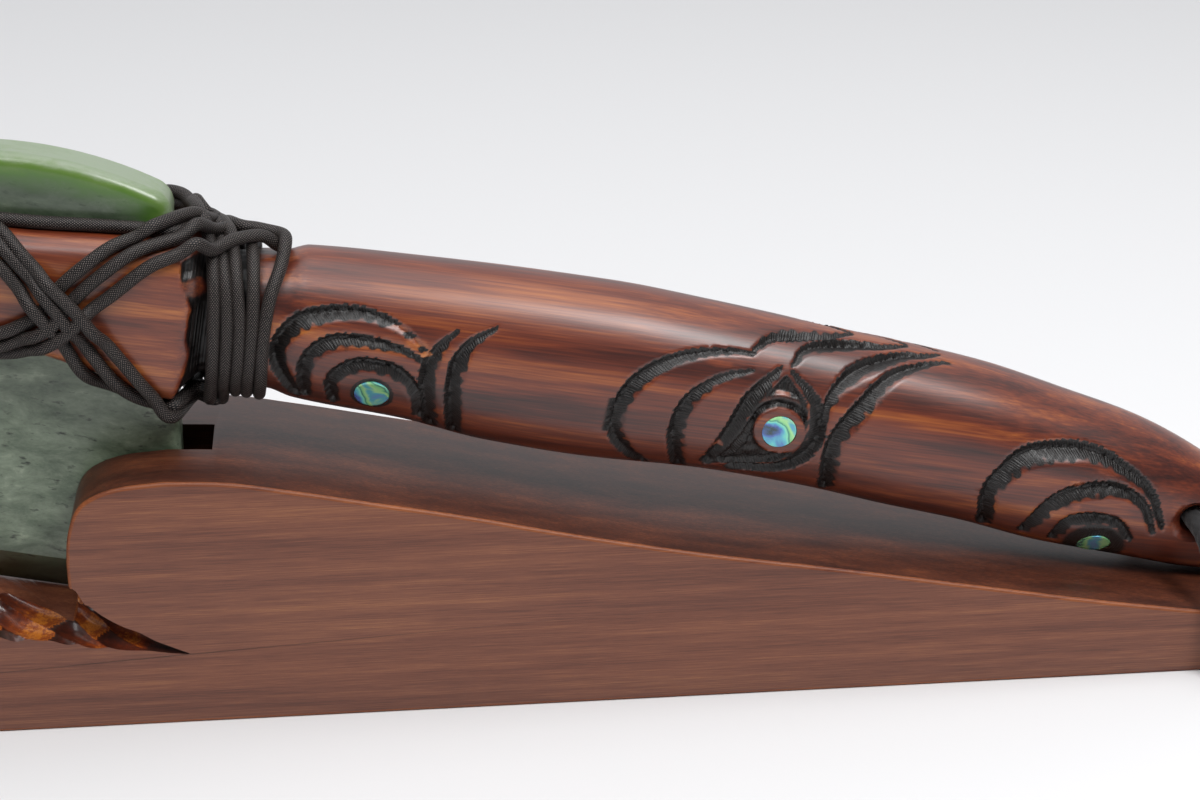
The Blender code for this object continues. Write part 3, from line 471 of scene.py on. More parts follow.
def head_points(along, rise, y):
    """Places given along the haft's head, square to it and across it."""
    x = along * math.cos(HEAD_TILT) + rise * math.sin(HEAD_TILT)
    z = rise * math.cos(HEAD_TILT) - along * math.sin(HEAD_TILT)
    x, y, z = np.broadcast_arrays(x, y, z)
    return np.stack([x, y, z], axis=-1) + np.array(HEAD_PLACE)


def head_point(along, rise, y=0.0):
    return Vector(head_points(along, rise, y))


def haft_section(station):
    """Middle, half height, half width and squareness of the haft's section, in metres."""
    values = [float(curve_value(HAFT_STATIONS, column, station)) for column in (1, 2, 3, 4)]
    top, bottom, half_width, square = values
    return (top + bottom) / 2 * MM, (top - bottom) / 2 * MM, half_width * MM, square


def quarter(half_height, half_width, square):
    """One quarter of a section from its side to its top, and the length of each part of it."""
    turn = np.linspace(0, math.pi / 2, QUARTER_POINTS)
    across = half_width * np.cos(turn) ** (2 / square)
    up = half_height * np.sin(turn) ** (2 / square)
    length = np.concatenate([[0], np.cumsum(np.hypot(np.diff(across), np.diff(up)))])
    return across, up, length


def haft_ring(station, arounds, lifts=0.0):
    """Places round the haft: 0 is its near side, 1 its top, 2 its far side and 3 its underside."""
    middle, half_height, half_width, square = haft_section(station)
    across, up, length = quarter(half_height, half_width, square)
    arounds = np.asarray(arounds, float)
    part = np.floor(arounds).astype(int) % 4
    share = arounds - np.floor(arounds)
    share = np.where(part % 2 == 1, 1 - share, share)
    y = np.interp(share * length[-1], length, across)
    z = np.interp(share * length[-1], length, up)
    out_y = (y / half_width) ** (square - 1) / half_width
    out_z = (z / half_height) ** (square - 1) / half_height
    size = np.hypot(out_y, out_z)
    y = y + lifts * out_y / size
    z = z + lifts * out_z / size
    side = np.where((part == 0) | (part == 3), -1, 1)
    rise = np.where(part < 2, 1, -1)
    return head_points(laid_out(station), middle + rise * z, side * y)


def haft_point(station, around, lift=0.0):
    return Vector(haft_ring(station, [around], lift)[0])


def quarter_length(station):
    """The length round the haft from its side to its top, in millimetres."""
    return quarter(*haft_section(station)[1:])[2][-1] / MM


def side_point(station, up_the_side, lift=0.0, side=-1):
    """A place on the haft given by how far it is up a side from its middle line."""
    place = haft_point(station, up_the_side / quarter_length(station) / MM, lift)
    return Vector((place.x, -side * place.y, place.z))


def eye_frame(station, up_the_side, side):
    """A shell disc's place on the haft's surface, with its Z axis pointing out of the wood."""
    place = side_point(station, up_the_side, 0, side)
    out = (side_point(station, up_the_side, 1 * MM, side) - place).normalized()
    return Matrix.Translation(place) @ out.to_track_quat("Z", "Y").to_matrix().to_4x4()


def hole_middle():
    """The middle of the wrist cord's hole, in the haft's middle plane."""
    return head_point(float(laid_out(HOLE_STATION)), haft_section(HOLE_STATION)[0] + HOLE_RISE)


def blade_floor(x):
    """The height of the slot's floor under the cutting edge."""
    edge = head_point(0, -BLADE_DROP)
    return edge.z - GAP / math.cos(HEAD_TILT) - math.tan(HEAD_TILT + BLADE_SKEW) * (x - edge.x)


def valley_middle():
    """The middle of the open valley, under a point of the blade's middle line above its edge."""
    return head_point(0, -VALLEY_CENTRE_DROP).x


# The camera: 75 mm on a 36 mm wide sensor, half a metre in front and looking down by 24 degrees
CAMERA_PLACE = Vector((-0.0354, -0.5341, 0.3059))
CAMERA_AIM = Vector((0.0175, 0, 0.0669))
CAMERA_LENS = 75
SENSOR_WIDTH = 36


def set_camera():
    lens = bpy.data.cameras.new("camera")
    lens.lens = CAMERA_LENS
    lens.sensor_width = SENSOR_WIDTH
    lens.clip_start = 0.01
    camera = bpy.data.objects.new("camera", lens)
    bpy.context.scene.collection.objects.link(camera)
    camera.location = CAMERA_PLACE
    camera.rotation_euler = (CAMERA_AIM - CAMERA_PLACE).to_track_quat("-Z", "Y").to_euler()
    bpy.context.scene.camera = camera


def cord_frames(course, closed):
    """Two directions square to a course at each of its points, turned as little as can be."""
    course = np.array(course, float)
    if closed:
        ahead = np.roll(course, -1, axis=0) - np.roll(course, 1, axis=0)
    else:
        ahead = np.gradient(course, axis=0)
    ahead /= np.linalg.norm(ahead, axis=1)[:, None]
    side = np.cross(ahead[0], (0.0, 0.0, 1.0) if abs(ahead[0][2]) < 0.9 else (1.0, 0.0, 0.0))
    sides = []
    for way in ahead:
        side = side - way * (side @ way)
        side /= np.linalg.norm(side)
        sides.append(side)
    sides = np.array(sides)
    if closed:
        last = sides[-1] - ahead[0] * (sides[-1] @ ahead[0])
        turn = math.atan2(np.cross(last, sides[0]) @ ahead[0], last @ sides[0])
        turns = np.linspace(0, turn, len(course))[:, None]
        sides = sides * np.cos(turns) + np.cross(ahead, sides) * np.sin(turns)
    return sides, np.cross(ahead, sides)


def cord_mesh(name, courses, radius, sides, closed, relief=None):
    """Round cords along their courses, with a UV map in millimetres along and round them.

    relief gives how far the surface stands out at a length along and a share of a turn round.
    """
    places, faces, ways = [], [], []
    for course in courses:
        course = np.array(course, float)
        across, up = cord_frames(course, closed)
        length = np.concatenate([[0], np.cumsum(np.linalg.norm(np.diff(course, axis=0), axis=1))])
        share = np.arange(sides) / sides
        turn = 2 * math.pi * share
        out = across[:, None] * np.cos(turn)[None, :, None] + up[:, None] * np.sin(turn)[None, :, None]
        thick = np.full((len(course), sides), radius)
        if relief:
            thick = thick + relief(length[:, None], share[None])
        first = len(places)
        places.extend((course[:, None] + out * thick[..., None]).reshape(-1, 3))
        rings = len(course)
        around = math.pi * 2 * radius / MM
        for ring in range(rings if closed else rings - 1):
            after = (ring + 1) % rings
            low = length[ring] / MM
            high = length[after] / MM if after else low + (length[1] - length[0]) / MM
            for k in range(sides):
                beside = (k + 1) % sides
                corners = ((ring, k), (ring, beside), (after, beside), (after, k))
                faces.append([first + row * sides + column for row, column in corners])
                left, right = k / sides * around, (k + 1) / sides * around
                ways.extend([(low, left), (low, right), (high, right), (high, left)])
        if not closed:
            for ring, step in ((0, -1), (rings - 1, 1)):
                cap = [first + ring * sides + k for k in range(sides)]
                faces.append(cap[::step])
                ways.extend([(length[ring] / MM, 0.0)] * sides)
    mesh = bpy.data.meshes.new(name)
    mesh.from_pydata([tuple(p) for p in places], [], faces)
    way_map = mesh.uv_layers.new(name="cord_way")
    way_map.data.foreach_set("uv", np.array(ways, float).ravel())
    piece = bpy.data.objects.new(name, mesh)
    bpy.context.scene.collection.objects.link(piece)
    turn_out(piece)
    return piece


def plait(length, share):
    """The relief of a cord plaited from strands that cross at a slant, over and under by turns."""
    strands = 6
    rise = 0.34 * MM
    pitch = math.pi * WRIST_CORD_DIAMETER / strands * 1.35
    a = strands * share + length / pitch
    b = strands * share - length / pitch
    a_is_over = (np.floor(a) + np.floor(b)) % 2 > 0.5
    over = np.abs(np.sin(np.pi * np.where(a_is_over, a, b))) ** 0.6
    return rise * (over - 0.75)


def wrist_cord(surface):
    """The wrist cord: out of the hole, down to the floor, round the stand's end and back."""
    hole = hole_middle()
    radius = WRIST_CORD_DIAMETER / 2
    lay = radius + GAP
    end = STAND_LENGTH / 2
    # half its way, with the places across and up in millimetres
    half = [
        (hole.x, -0.5, hole.z / MM), (hole.x, -7, hole.z / MM), (hole.x, -12, hole.z / MM),
        (hole.x + 0.6 * MM, -17.5, hole.z / MM - 1.2),
        (hole.x + 1.4 * MM, -23, hole.z / MM - 6), (hole.x + 2.2 * MM, -27, hole.z / MM - 13),
        (hole.x + 3.8 * MM, -29.5, hole.z / MM - 21), (hole.x + 7 * MM, -32, 6.5),
        (hole.x + 13 * MM, -35.5, lay / MM), (hole.x + 22 * MM, -40, lay / MM),
        (hole.x + 34 * MM, -43, lay / MM), (end + 8 * MM, -41, lay / MM), (end + 20 * MM, -33, lay / MM),
        (end + 28 * MM, -19, lay / MM), (end + 31 * MM, 0, lay / MM),
    ]
    route = [(x, y * MM, z * MM) for x, y, z in half]
    route += [(x, -y, z) for x, y, z in route[-2::-1]]
    course = along_curve(route, 0.55 * MM)
    piece = cord_mesh("wrist_cord_plaited", [course], radius - 0.1 * MM, 36, False, plait)
    finish_piece(piece, "wrist_cord_plaited", surface, "plaited_cord", "wrist_cord")
    exit_place = (hole.x, -haft_section(HOLE_STATION)[2], hole.z)


def nearest_on(line, s, g):
    """For each place the distance to a line, which side of it it is on, and the length along it."""
    a, way = line[:-1], np.diff(line, axis=0)
    size = np.linalg.norm(way, axis=1)
    travel = np.concatenate([[0], np.cumsum(size)])
    off_s, off_g = s[:, None] - a[None, :, 0], g[:, None] - a[None, :, 1]
    share = np.clip((off_s * way[:, 0] + off_g * way[:, 1]) / size**2, 0, 1)
    away = np.hypot(off_s - share * way[:, 0], off_g - share * way[:, 1])
    best = away.argmin(axis=1)
    row = np.arange(len(s))
    turn = way[best, 0] * off_g[row, best] - way[best, 1] * off_s[row, best]
    return away[row, best], np.sign(turn), travel[best] + share[row, best] * size[best], travel[-1]


def rough(s, g, size):
    """Smooth random relief from crossed waves, about -1 to 1, with humps of a given size."""
    total = 0.0
    for k, (a, b) in enumerate([(1.0, 0.31), (-0.42, 0.93), (0.71, -0.77), (0.18, 1.13), (-1.07, -0.23)]):
        bend = 1.3 * np.sin((b * s - a * g) / size)
        total = total + np.sin((a * s + b * g) * 2 * math.pi / size + 1.7 * k + bend)
    return total / 3.2


def stroke_field(stroke, s, g):
    """One gouge stroke at each place: its depth, its stain, how near its middle and how far along."""
    width, start, end, steep, points = stroke
    line = along_curve(points, 0.8)
    depth, stain, middle, travel = (np.zeros(s.shape) for _ in range(4))
    low, high = line.min(axis=0) - width, line.max(axis=0) + width
    near = np.flatnonzero((s > low[0]) & (s < high[0]) & (g > low[1]) & (g < high[1]))
    if not len(near):
        return depth, stain, middle, travel
    s, g = s[near], g[near]
    away, side, along, total = nearest_on(line, s, g)
    share = along / total
    # the stroke widens over its first third, and narrows over its second half
    from_start = start + (1 - start) * share / 0.35
    from_end = end + (1 - end) * (1 - share) / 0.5
    taper = np.minimum(1, np.minimum(from_start, from_end))
    across = away * side * steep
    # the steep wall's edge is torn into teeth, and the slope's edge wavers
    tooth = np.abs(((along + 0.35 * across + 0.3 * rough(s, g, 7)) / TOOTH_PITCH) % 1 - 0.4)
    half = width / 2 * taper
    reach = half * np.where(across > 0, 1 + TOOTH_REACH * (tooth - 0.1), 1 + 0.06 * rough(s, g, 5))
    u = across / reach
    wall = np.clip((1 - u) / (1 - STROKE_LOWEST), 0, 1) ** 0.75
    slope = np.clip((u + 1) / (1 + STROKE_LOWEST), 0, 1) ** 1.25
    cut = np.minimum(wall, slope)
    # the chisel's marks show on the floor alone
    chisel = ((along - 0.9 * across) / CHISEL_PITCH + 0.15 * rough(s, g, 4)) % 1
    relief = CHISEL_RELIEF * (chisel - 0.5) * smoothstep(0.1, 0.5, cut)
    depth[near] = np.where(cut > 0, STROKE_DEPTH * width * taper * cut + relief, 0)
    stain[near] = smoothstep(-0.95, -0.25, u + 0.3 * rough(s, g, 3)) * (u < 1)
    middle[near] = np.clip(1.6 - np.abs(u), 0, 1.6)
    travel[near] = along + 0.4 * across
    return depth, stain, middle, travel


def sunk_field(s, g):
    """The sunk field round the middle disc, with the disc's raised boss and a crescent over it."""
    edge = np.array(FIELD + FIELD[:1], float)
    near = np.flatnonzero((s > edge[:, 0].min()) & (s < edge[:, 0].max()) & (g > -16) & (g < 13))
    depth, stain = np.zeros(s.shape), np.zeros(s.shape)
    if not len(near):
        return depth, stain
    s, g = s[near], g[near]
    inside = np.zeros(len(s), bool)
    for (a, b), (c, d) in zip(edge, edge[1:]):
        crossed = (b > g) != (d > g)
        inside ^= crossed & (s < a + (g - b) * (c - a) / ((d - b) or 1e-9))
    away = nearest_on(edge, s, g)[0]
    floor = FIELD_DEPTH * smoothstep(0, 1.2, away) * inside
    floor = floor + 0.14 * rough(s, g, 3.2) * (floor > 0.4)
    eye_s, eye_g = EYES[1]
    out = np.hypot(s - eye_s, g - eye_g)
    turn = np.degrees(np.arctan2(g - eye_g, s - eye_s))
    boss = 1 - smoothstep(BOSS_RADIUS - 0.2, BOSS_RADIUS + 0.7, out)
    ridge = smoothstep(1.5, 0.3, np.abs(out - CRESCENT_RADIUS)) * smoothstep(70, 25, np.abs(turn - 100))
    depth[near] = floor * (1 - boss) * (1 - 0.75 * ridge)
    stain[near] = inside * (1 - boss) * smoothstep(0.1, 0.5, away) * (1 - 0.6 * ridge)
    return depth, stain


def head_end(s, g):
    """The hollow carved between the end of the head's face and the neck, and its black stain."""
    ups, ends = zip(*HEAD_END)
    edge = np.interp(g, ups, ends) + 0.25 * rough(s, g, 6)
    past = s - edge
    hollow = smoothstep(0, 1.1, past) * smoothstep(NECK_STATION - 6, 46, s)
    hollow = hollow * smoothstep(-26, -23, g) * smoothstep(27, 23, g)
    lump = smoothstep(4.6, 1.6, np.hypot((s - LUMP_PLACE[0]) * 0.9, g - LUMP_PLACE[1]))
    depth = HEAD_END_DEPTH * hollow * (1 - 0.7 * lump)
    depth = depth + 0.16 * rough(s, g, 3.4) * (depth > 0.4)
    return depth, hollow * (1 - 0.7 * lump)


def carving(s, g):
    """The depth of all carving on one side, its stain, and how far along its stroke each place is."""
    depth, stain = sunk_field(s, g)
    hollow, black = head_end(s, g)
    depth = np.maximum(depth, hollow)
    stain = np.maximum(stain, black)
    travel, nearest = s * 1.0, np.zeros(s.shape)
    for stroke in STROKES:
        cut, black, middle, way = stroke_field(stroke, s, g)
        depth = np.maximum(depth, cut)
        stain = np.maximum(stain, black)
        travel = np.where(middle > nearest, way, travel)
        nearest = np.maximum(nearest, middle)
    eye_s, eye_g = EYES[1]
    boss = smoothstep(BOSS_RADIUS + 0.5, BOSS_RADIUS - 0.3, np.hypot(s - eye_s, g - eye_g))
    stain = stain * (1 - boss)
    # stain also lies in a ring round the first disc, and all round the last one
    first, last = (np.hypot(s - EYES[k][0], g - EYES[k][1]) for k in (0, 2))
    stain = np.maximum(stain, 0.75 * smoothstep(5.2, 4.6, first))
    stain = np.maximum(stain, 0.95 * smoothstep(9, 6, last))
    return depth * (1 - boss), stain, travel


def worn_patches(s, g):
    """How far the stain is worn off at each place."""
    worn = np.zeros(s.shape)
    for station, rise, length, height in WORN:
        away = np.hypot((s - station) / length, (g - rise) / height)
        worn = np.maximum(worn, smoothstep(1.3, 0.6, away + 0.2 * rough(s, g, 2)))
    return worn


def haft_rows():
    """The stations of the haft's rings, close together where it is carved."""
    rows, place = [], float(HAFT_STATIONS[0][0])
    while place < BUTT_STATION:
        rows.append(place)
        carved = any(low <= place < high for low, high in CARVED_STRETCHES)
        place += CARVED_STEP if carved else PLAIN_STEP
    return [*rows, float(BUTT_STATION)]


def haft(surface):
    """The carved haft: a fine grid rolled up to its shape, then cut for blade, discs and cord."""
    rows = haft_rows()
    skirt = len(CAP_SHARES)
    count = len(rows) + 2 * skirt
    piece, row_of, column_of = new_grid(count, HAFT_SIDES + 1)
    arounds = 4 * np.arange(HAFT_SIDES + 1) / HAFT_SIDES - 1
    lengths = np.array([quarter_length(row) for row in rows])[:, None]
    s = np.repeat(np.array(rows)[:, None], len(arounds), axis=1)
    depth, stain, travel, worn = (np.zeros(s.shape) for _ in range(4))
    for way in (arounds, 2 - arounds):
        g = ((way + 2) % 4 - 2)[None] * lengths
        cut, black, along = (field.reshape(s.shape) for field in carving(s.ravel(), g.ravel()))
        depth = np.maximum(depth, cut)
        stain = np.maximum(stain, black)
        travel = np.where(np.abs(g) < lengths, along, travel)
        worn = np.maximum(worn, worn_patches(s, g))
    # the head is paler than the rest, and paler still along its top, where a painted highlight lies; the
    # worn patches are pale too
    painted_top_highlight = smoothstep(0.62, 0.72, 1 - np.abs(np.abs((arounds + 1) % 4 - 2)))[None]
    bare_and_top_highlight = np.maximum((0.4 + 0.6 * painted_top_highlight) * smoothstep(40, 37, np.abs(s)), worn)
    stain = stain * (1 - 0.85 * worn)
    spots = np.zeros((count, HAFT_SIDES + 1, 3))
    for k, row in enumerate(rows):
        spots[k + skirt] = haft_ring(row, arounds, -depth[k] * MM)
    for end, row, way in ((skirt, rows[0], -1), (count - 1 - skirt, rows[-1], 1)):
        middle, half_height = haft_section(row)[:2]
        centre = head_points(float(laid_out(row)), middle, 0.0)
        for k, share in enumerate(CAP_SHARES, 1):
            out = CAP_DEPTH * half_height * math.sqrt(1 - share * share)
            tip = head_points(float(laid_out(row)) + way * out, middle, 0.0)
            spots[end + way * k] = tip + (spots[end] - centre) * share
    piece.data.vertices.foreach_set("co", spots[row_of, column_of].ravel())
    fields = [np.pad(field, ((skirt, skirt), (0, 0)))[row_of, column_of] for field in (stain, bare_and_top_highlight, travel)]
    mark(piece, "carved", fields[0], fields[1])
    mark(piece, "stroke_way", fields[2], fields[0])
    turn_out(piece, MERGE)
    cut_haft(piece)
    return finish_piece(piece, "haft_carved", surface, "haft_wood", "haft", smooth=50)


def from_outline(name, outline, thickness):
    """A flat outline in X and Z made as thick as given along Y."""
    bpy.ops.object.select_all(action="DESELECT")
    bpy.ops.mesh.primitive_circle_add(vertices=len(outline), radius=1, fill_type="NGON")
    piece = bpy.context.active_object
    piece.name = name
    for corner, (x, z) in zip(piece.data.vertices, outline):
        corner.co = (x, -thickness / 2, z)
    bpy.ops.object.mode_set(mode="EDIT")
    bpy.ops.mesh.select_all(action="SELECT")
    bpy.ops.mesh.extrude_region_move(TRANSFORM_OT_translate={"value": (0, thickness, 0)})
    bpy.ops.object.mode_set(mode="OBJECT")
    turn_out(piece)
    return piece


def drop(pieces):
    for piece in pieces:
        mesh = piece.data
        bpy.data.objects.remove(piece)
        bpy.data.meshes.remove(mesh)


def cut_with(piece, cutters):
    """Cuts all cutters out of a piece and deletes them."""
    group = bpy.data.collections.new("cutters")
    for cutter in cutters:
        group.objects.link(cutter)
    apply_modifier(
        piece, "BOOLEAN", operation="DIFFERENCE", operand_type="COLLECTION", collection=group,
        solver="EXACT", material_mode="TRANSFER",
    )
    drop(cutters)
    bpy.data.collections.remove(group)


def stone_outline(grow=0.0):
    """The blade's outline in the head's own plane: arched poll, flared sides, skewed edge."""
    half_low = BLADE_HALF_WIDTH + grow
    corner_x, corner_z = POLL_HALF_WIDTH - POLL_CORNER, poll_fillet()
    arch_z = POLL_TOP - POLL_RADIUS
    meet = math.atan2(corner_z - arch_z, corner_x)
    right = []
    for turn in np.linspace(math.pi / 2, meet, 25):
        reach = POLL_RADIUS + grow
        right.append((reach * math.cos(turn), arch_z + reach * math.sin(turn)))
    for turn in np.linspace(meet, 0, 13)[1:]:
        reach = POLL_CORNER + grow
        right.append((corner_x + reach * math.cos(turn), corner_z + reach * math.sin(turn)))
    drop_of = math.tan(BLADE_SKEW)
    for side in (1, -1):
        low = -BLADE_DROP - grow - side * half_low * drop_of
        corner = []
        for turn in np.linspace(0, math.pi / 2, 7):
            x = half_low - BLADE_CORNER * (1 - math.cos(turn))
            corner.append((x, low + BLADE_CORNER * (1 - math.sin(turn))))
        if side == 1:
            outline = [*right, *corner]
        else:
            outline += [(-s, h) for s, h in reversed(corner)]
    return outline + [(-s, h) for s, h in reversed(right[1:])]


def place_in_head(piece):
    piece.data.transform(Matrix.Translation(HEAD_PLACE) @ Matrix.Rotation(HEAD_TILT, 4, "Y"))


def cut_haft(piece):
    """The mortise, the flat-bottomed seats of the discs and the cord's flared hole."""
    thickness = STONE_THICKNESS + 2 * MORTISE_CLEARANCE
    mortise = from_outline("mortise", stone_outline(MORTISE_CLEARANCE), thickness)
    place_in_head(mortise)
    cutters = [mortise]
    low = -EYE_SUNK - EYE_THICKNESS - GAP
    for side in (-1, 1):
        for station, rise in EYES:
            bpy.ops.mesh.primitive_cylinder_add(
                vertices=64, radius=EYE_DIAMETER / 2 + EYE_CLEARANCE, depth=EYE_DIAMETER / 2 - low
            )
            seat = bpy.context.active_object
            seat.data.transform(Matrix.Translation((0, 0, (EYE_DIAMETER / 2 + low) / 2)))
            seat.data.transform(eye_frame(station, rise * MM, side))
            cutters.append(seat)
    bore = WRIST_CORD_DIAMETER / 2 + HOLE_CLEARANCE
    reach = haft_section(HOLE_STATION)[2]
    bpy.ops.mesh.primitive_cylinder_add(vertices=48, radius=bore, depth=2 * reach + 6 * HOLE_FLARE)
    hole = bpy.context.active_object
    hole.data.transform(Matrix.Rotation(math.radians(90), 4, "X"))
    bpy.ops.object.mode_set(mode="EDIT")
    for depth in (-reach + HOLE_FLARE, reach - HOLE_FLARE):
        bpy.ops.mesh.select_all(action="SELECT")
        bpy.ops.mesh.bisect(plane_co=(0, depth, 0), plane_no=(0, 1, 0))
    bpy.ops.object.mode_set(mode="OBJECT")
    for corner in hole.data.vertices:
        past = max(0.0, abs(corner.co.y) - (reach - HOLE_FLARE))
        grow = 1 + past / bore
        corner.co.x *= grow
        corner.co.z *= grow
    hole.data.transform(Matrix.Translation(hole_middle()))
    cutters.append(hole)
    cut_with(piece, cutters)


def stone(surface):
    """The blade: a slab of the outline, rounded, and ground from both faces to its edge."""
    piece = from_outline("stone", stone_outline(), STONE_THICKNESS)
    apply_modifier(
        piece, "BEVEL", width=STONE_EDGE_ROUNDING, segments=8, limit_method="ANGLE",
        angle_limit=math.radians(60), use_clamp_overlap=True,
    )
    slope = math.atan2(STONE_THICKNESS / 2 - CUTTING_LAND / 2, BEVEL_HEIGHT)
    pick(piece)
    bpy.ops.object.mode_set(mode="EDIT")
    for face in (-1, 1):
        lean = Vector((0, face * math.cos(slope), -math.sin(slope)))
        lean.rotate(Matrix.Rotation(BLADE_SKEW, 3, "Y"))
        bpy.ops.mesh.select_all(action="SELECT")
        bpy.ops.mesh.bisect(
            plane_co=(0, face * CUTTING_LAND / 2, -BLADE_DROP), plane_no=lean, use_fill=True,
            clear_outer=True,
        )
    bpy.ops.object.mode_set(mode="OBJECT")
    turn_out(piece, MERGE)
    apply_modifier(
        piece, "BEVEL", width=STONE_ARRIS, segments=3, limit_method="ANGLE", angle_limit=math.radians(20)
    )
    place_in_head(piece)
    finish_piece(piece, "greenstone_blade", surface, "greenstone", "axe_head", smooth=30)
    apply_modifier(piece, "WEIGHTED_NORMAL", keep_sharp=True)
    return piece


def hump_side(way):
    """One hump's wall and rounded lip, from the valley's floor to the crest."""
    wall = VALLEY_WIDTH / 2
    # the lip, in shares of VALLEY_LIP out from the wall and down from the crest
    lip = [(0, 2.15), (0.09, 1.4), (0.34, 0.7), (0.76, 0.33), (1.46, 0.1)]
    points = [(wall + out * VALLEY_LIP, HUMP_HEIGHT - down * VALLEY_LIP) for out, down in lip]
    points.append((HUMP_LENGTH, HUMP_HEIGHT))
    foot = valley_middle() + way * wall
    return [(foot, blade_floor(foot)), *((valley_middle() + way * x, z) for x, z in points)]


def rounded(points, step):
    """A smooth line through an outline's corner points."""
    return [tuple(p) for p in along_curve(points, step)]


def stand_outline():
    """The stand's side view, clockwise from its lower left corner."""
    left, right = -STAND_LENGTH / 2, STAND_LENGTH / 2
    middle, half_height = haft_section(REST_STATION)[:2]
    rest = head_point(float(laid_out(REST_STATION)), middle - half_height)
    seat = rest.z - GAP
    lobe = valley_middle() - HUMP_LENGTH - left
    # the left end, in shares of its length and of the hump's height
    left_end = [(0, 0), (0, 0.15), (0.1, 0.42), (0.32, 0.73), (0.62, 0.92)]
    left_end = [(left + share * lobe, rise * HUMP_HEIGHT) for share, rise in left_end]
    left_hump = hump_side(-1)[::-1]
    right_hump = hump_side(1)
    outline = left_end[:1] + rounded(left_end[1:] + left_hump[:-1], 2.5 * MM) + left_hump[-1:]
    outline += right_hump[:1] + rounded(right_hump[1:], 1.5 * MM)
    crest = right_hump[-1][0]
    for share in np.linspace(0, 1, 70)[1:]:
        height = float(curve_value(SLOPE, 1, share))
        outline.append((crest + share * (rest.x - crest), seat + height * (HUMP_HEIGHT - seat)))
    # the right end, in shares of its length and of the seat's height
    right_end = [(0.5, 0.88), (0.875, 0.61), (1, 0.27)]
    corner = [(rest.x + share * (right - rest.x), rise * seat) for share, rise in right_end]
    outline += rounded([outline[-1], *corner], 1.0 * MM)[1:]
    outline.append((right, 0))
    return outline


def gouge_cuts(run, inward):
    """Leaf-shaped gouge cuts side by side: how deep each place is, and how far along its cut.

    run is in millimetres along the stand, and inward in millimetres from its face into the scoop.
    """
    run = run + 0.8 * np.sin(inward / 2.3)
    row = (inward * math.cos(GOUGE_SLANT) + run * math.sin(GOUGE_SLANT)) / GOUGE_WIDTH
    row = row + 0.16 * np.sin(run / 4.1 + 0.6)
    number = np.floor(row)
    length = run * math.cos(GOUGE_SLANT) - inward * math.sin(GOUGE_SLANT)
    along = ((length + 7.7 * number + 3 * np.sin(2.1 * number)) / GOUGE_LENGTH) % 1
    across = 1 - (2 * (row - number) - 1) ** 2
    return across * smoothstep(0, 0.25, along) * smoothstep(1, 0.6, along) ** 0.5, along


def scoop_cutter(face, surface):
    """A scoop along one face: a tube that is widest at the valley's middle, ridged by gouge cuts."""
    cutter, row_of, column_of = new_grid(SCOOP_ROWS, SCOOP_SIDES + 1)
    run = (row_of / (SCOOP_ROWS - 1) - 0.5) * 2 * SCOOP_HALF_LENGTH
    # three quarters of the tube's sides are on its half inside the wood
    turn = np.interp(column_of / SCOOP_SIDES, [0, 0.75, 1], [0, math.pi, 2 * math.pi])
    size = curve_value(SCOOP_TAPER, 1, np.abs(run) / SCOOP_HALF_LENGTH)
    deep, along = gouge_cuts(run / MM, turn * SCOOP_DEPTH * 0.8 * size / MM)
    reach = 1 - GOUGE_RELIEF * (1 - deep)
    # near the scoop's tips no cut gets the painted highlight, so they stay dark
    along = along * smoothstep(0.08, 0.3, size)
    high = SCOOP_HEIGHT / 2 * size
    inward = -face * np.sin(turn) * SCOOP_DEPTH * size * reach
    rise = high - SCOOP_FALL * run - np.cos(turn) * high * reach
    spots = np.stack([run, inward, rise], axis=-1)
    spots += (valley_middle(), face * STAND_THICKNESS / 2, blade_floor(valley_middle()) - SCOOP_DIP)
    cutter.data.vertices.foreach_set("co", spots.ravel())
    mark(cutter, "gouged", deep, along)
    turn_out(cutter, 2 * MERGE)
    bpy.ops.object.mode_set(mode="EDIT")
    bpy.ops.mesh.select_all(action="DESELECT")
    bpy.ops.mesh.select_non_manifold()
    bpy.ops.mesh.edge_face_add()
    bpy.ops.object.mode_set(mode="OBJECT")
    turn_out(cutter)
    cutter.data.materials.append(surface)
    return cutter


def stand(surface, edge, arris, gouged):
    """The stand: sawn from a plank, slotted for the blade, and scooped out on both faces."""
    piece = from_outline("stand", stand_outline(), STAND_THICKNESS)
    piece.data.uv_layers.new(name="gouged")
    for finish in (surface, edge, arris):
        piece.data.materials.append(finish)
    # the top and end faces take the darker copy of the wood: painted shade from the haft over the slope, and
    # end grain that takes more stain; the valley's floor keeps the face's wood
    for face in piece.data.polygons:
        in_valley = face.center.z < SEAT_HEIGHT and face.center.x < valley_middle() + VALLEY_WIDTH / 2
        face.material_index = 0 if abs(face.normal.y) > 0.5 or in_valley else 1
    apply_modifier(
        piece, "BEVEL", width=STAND_EDGE, segments=3, limit_method="ANGLE", angle_limit=math.radians(60),
        material=2,
    )
    left = head_point(-BLADE_HALF_WIDTH, -BLADE_DROP).x - SLOT_END_CLEARANCE
    right = head_point(BLADE_HALF_WIDTH, -BLADE_DROP).x + SLOT_END_CLEARANCE
    high = HUMP_HEIGHT + SLOT_OVERSHOOT
    slot = [(left, blade_floor(left)), (left, high), (right, high), (right, blade_floor(right))]
    cutters = [from_outline("slot", slot, STONE_THICKNESS + 2 * SLOT_CLEARANCE)]
    cutters[0].data.materials.append(edge)
    cutters += [scoop_cutter(face, gouged) for face in (-1, 1)]
    cut_with(piece, cutters)
    return finish_piece(piece, "stand_sawn", None, "stand_wood", "stand", smooth=35)


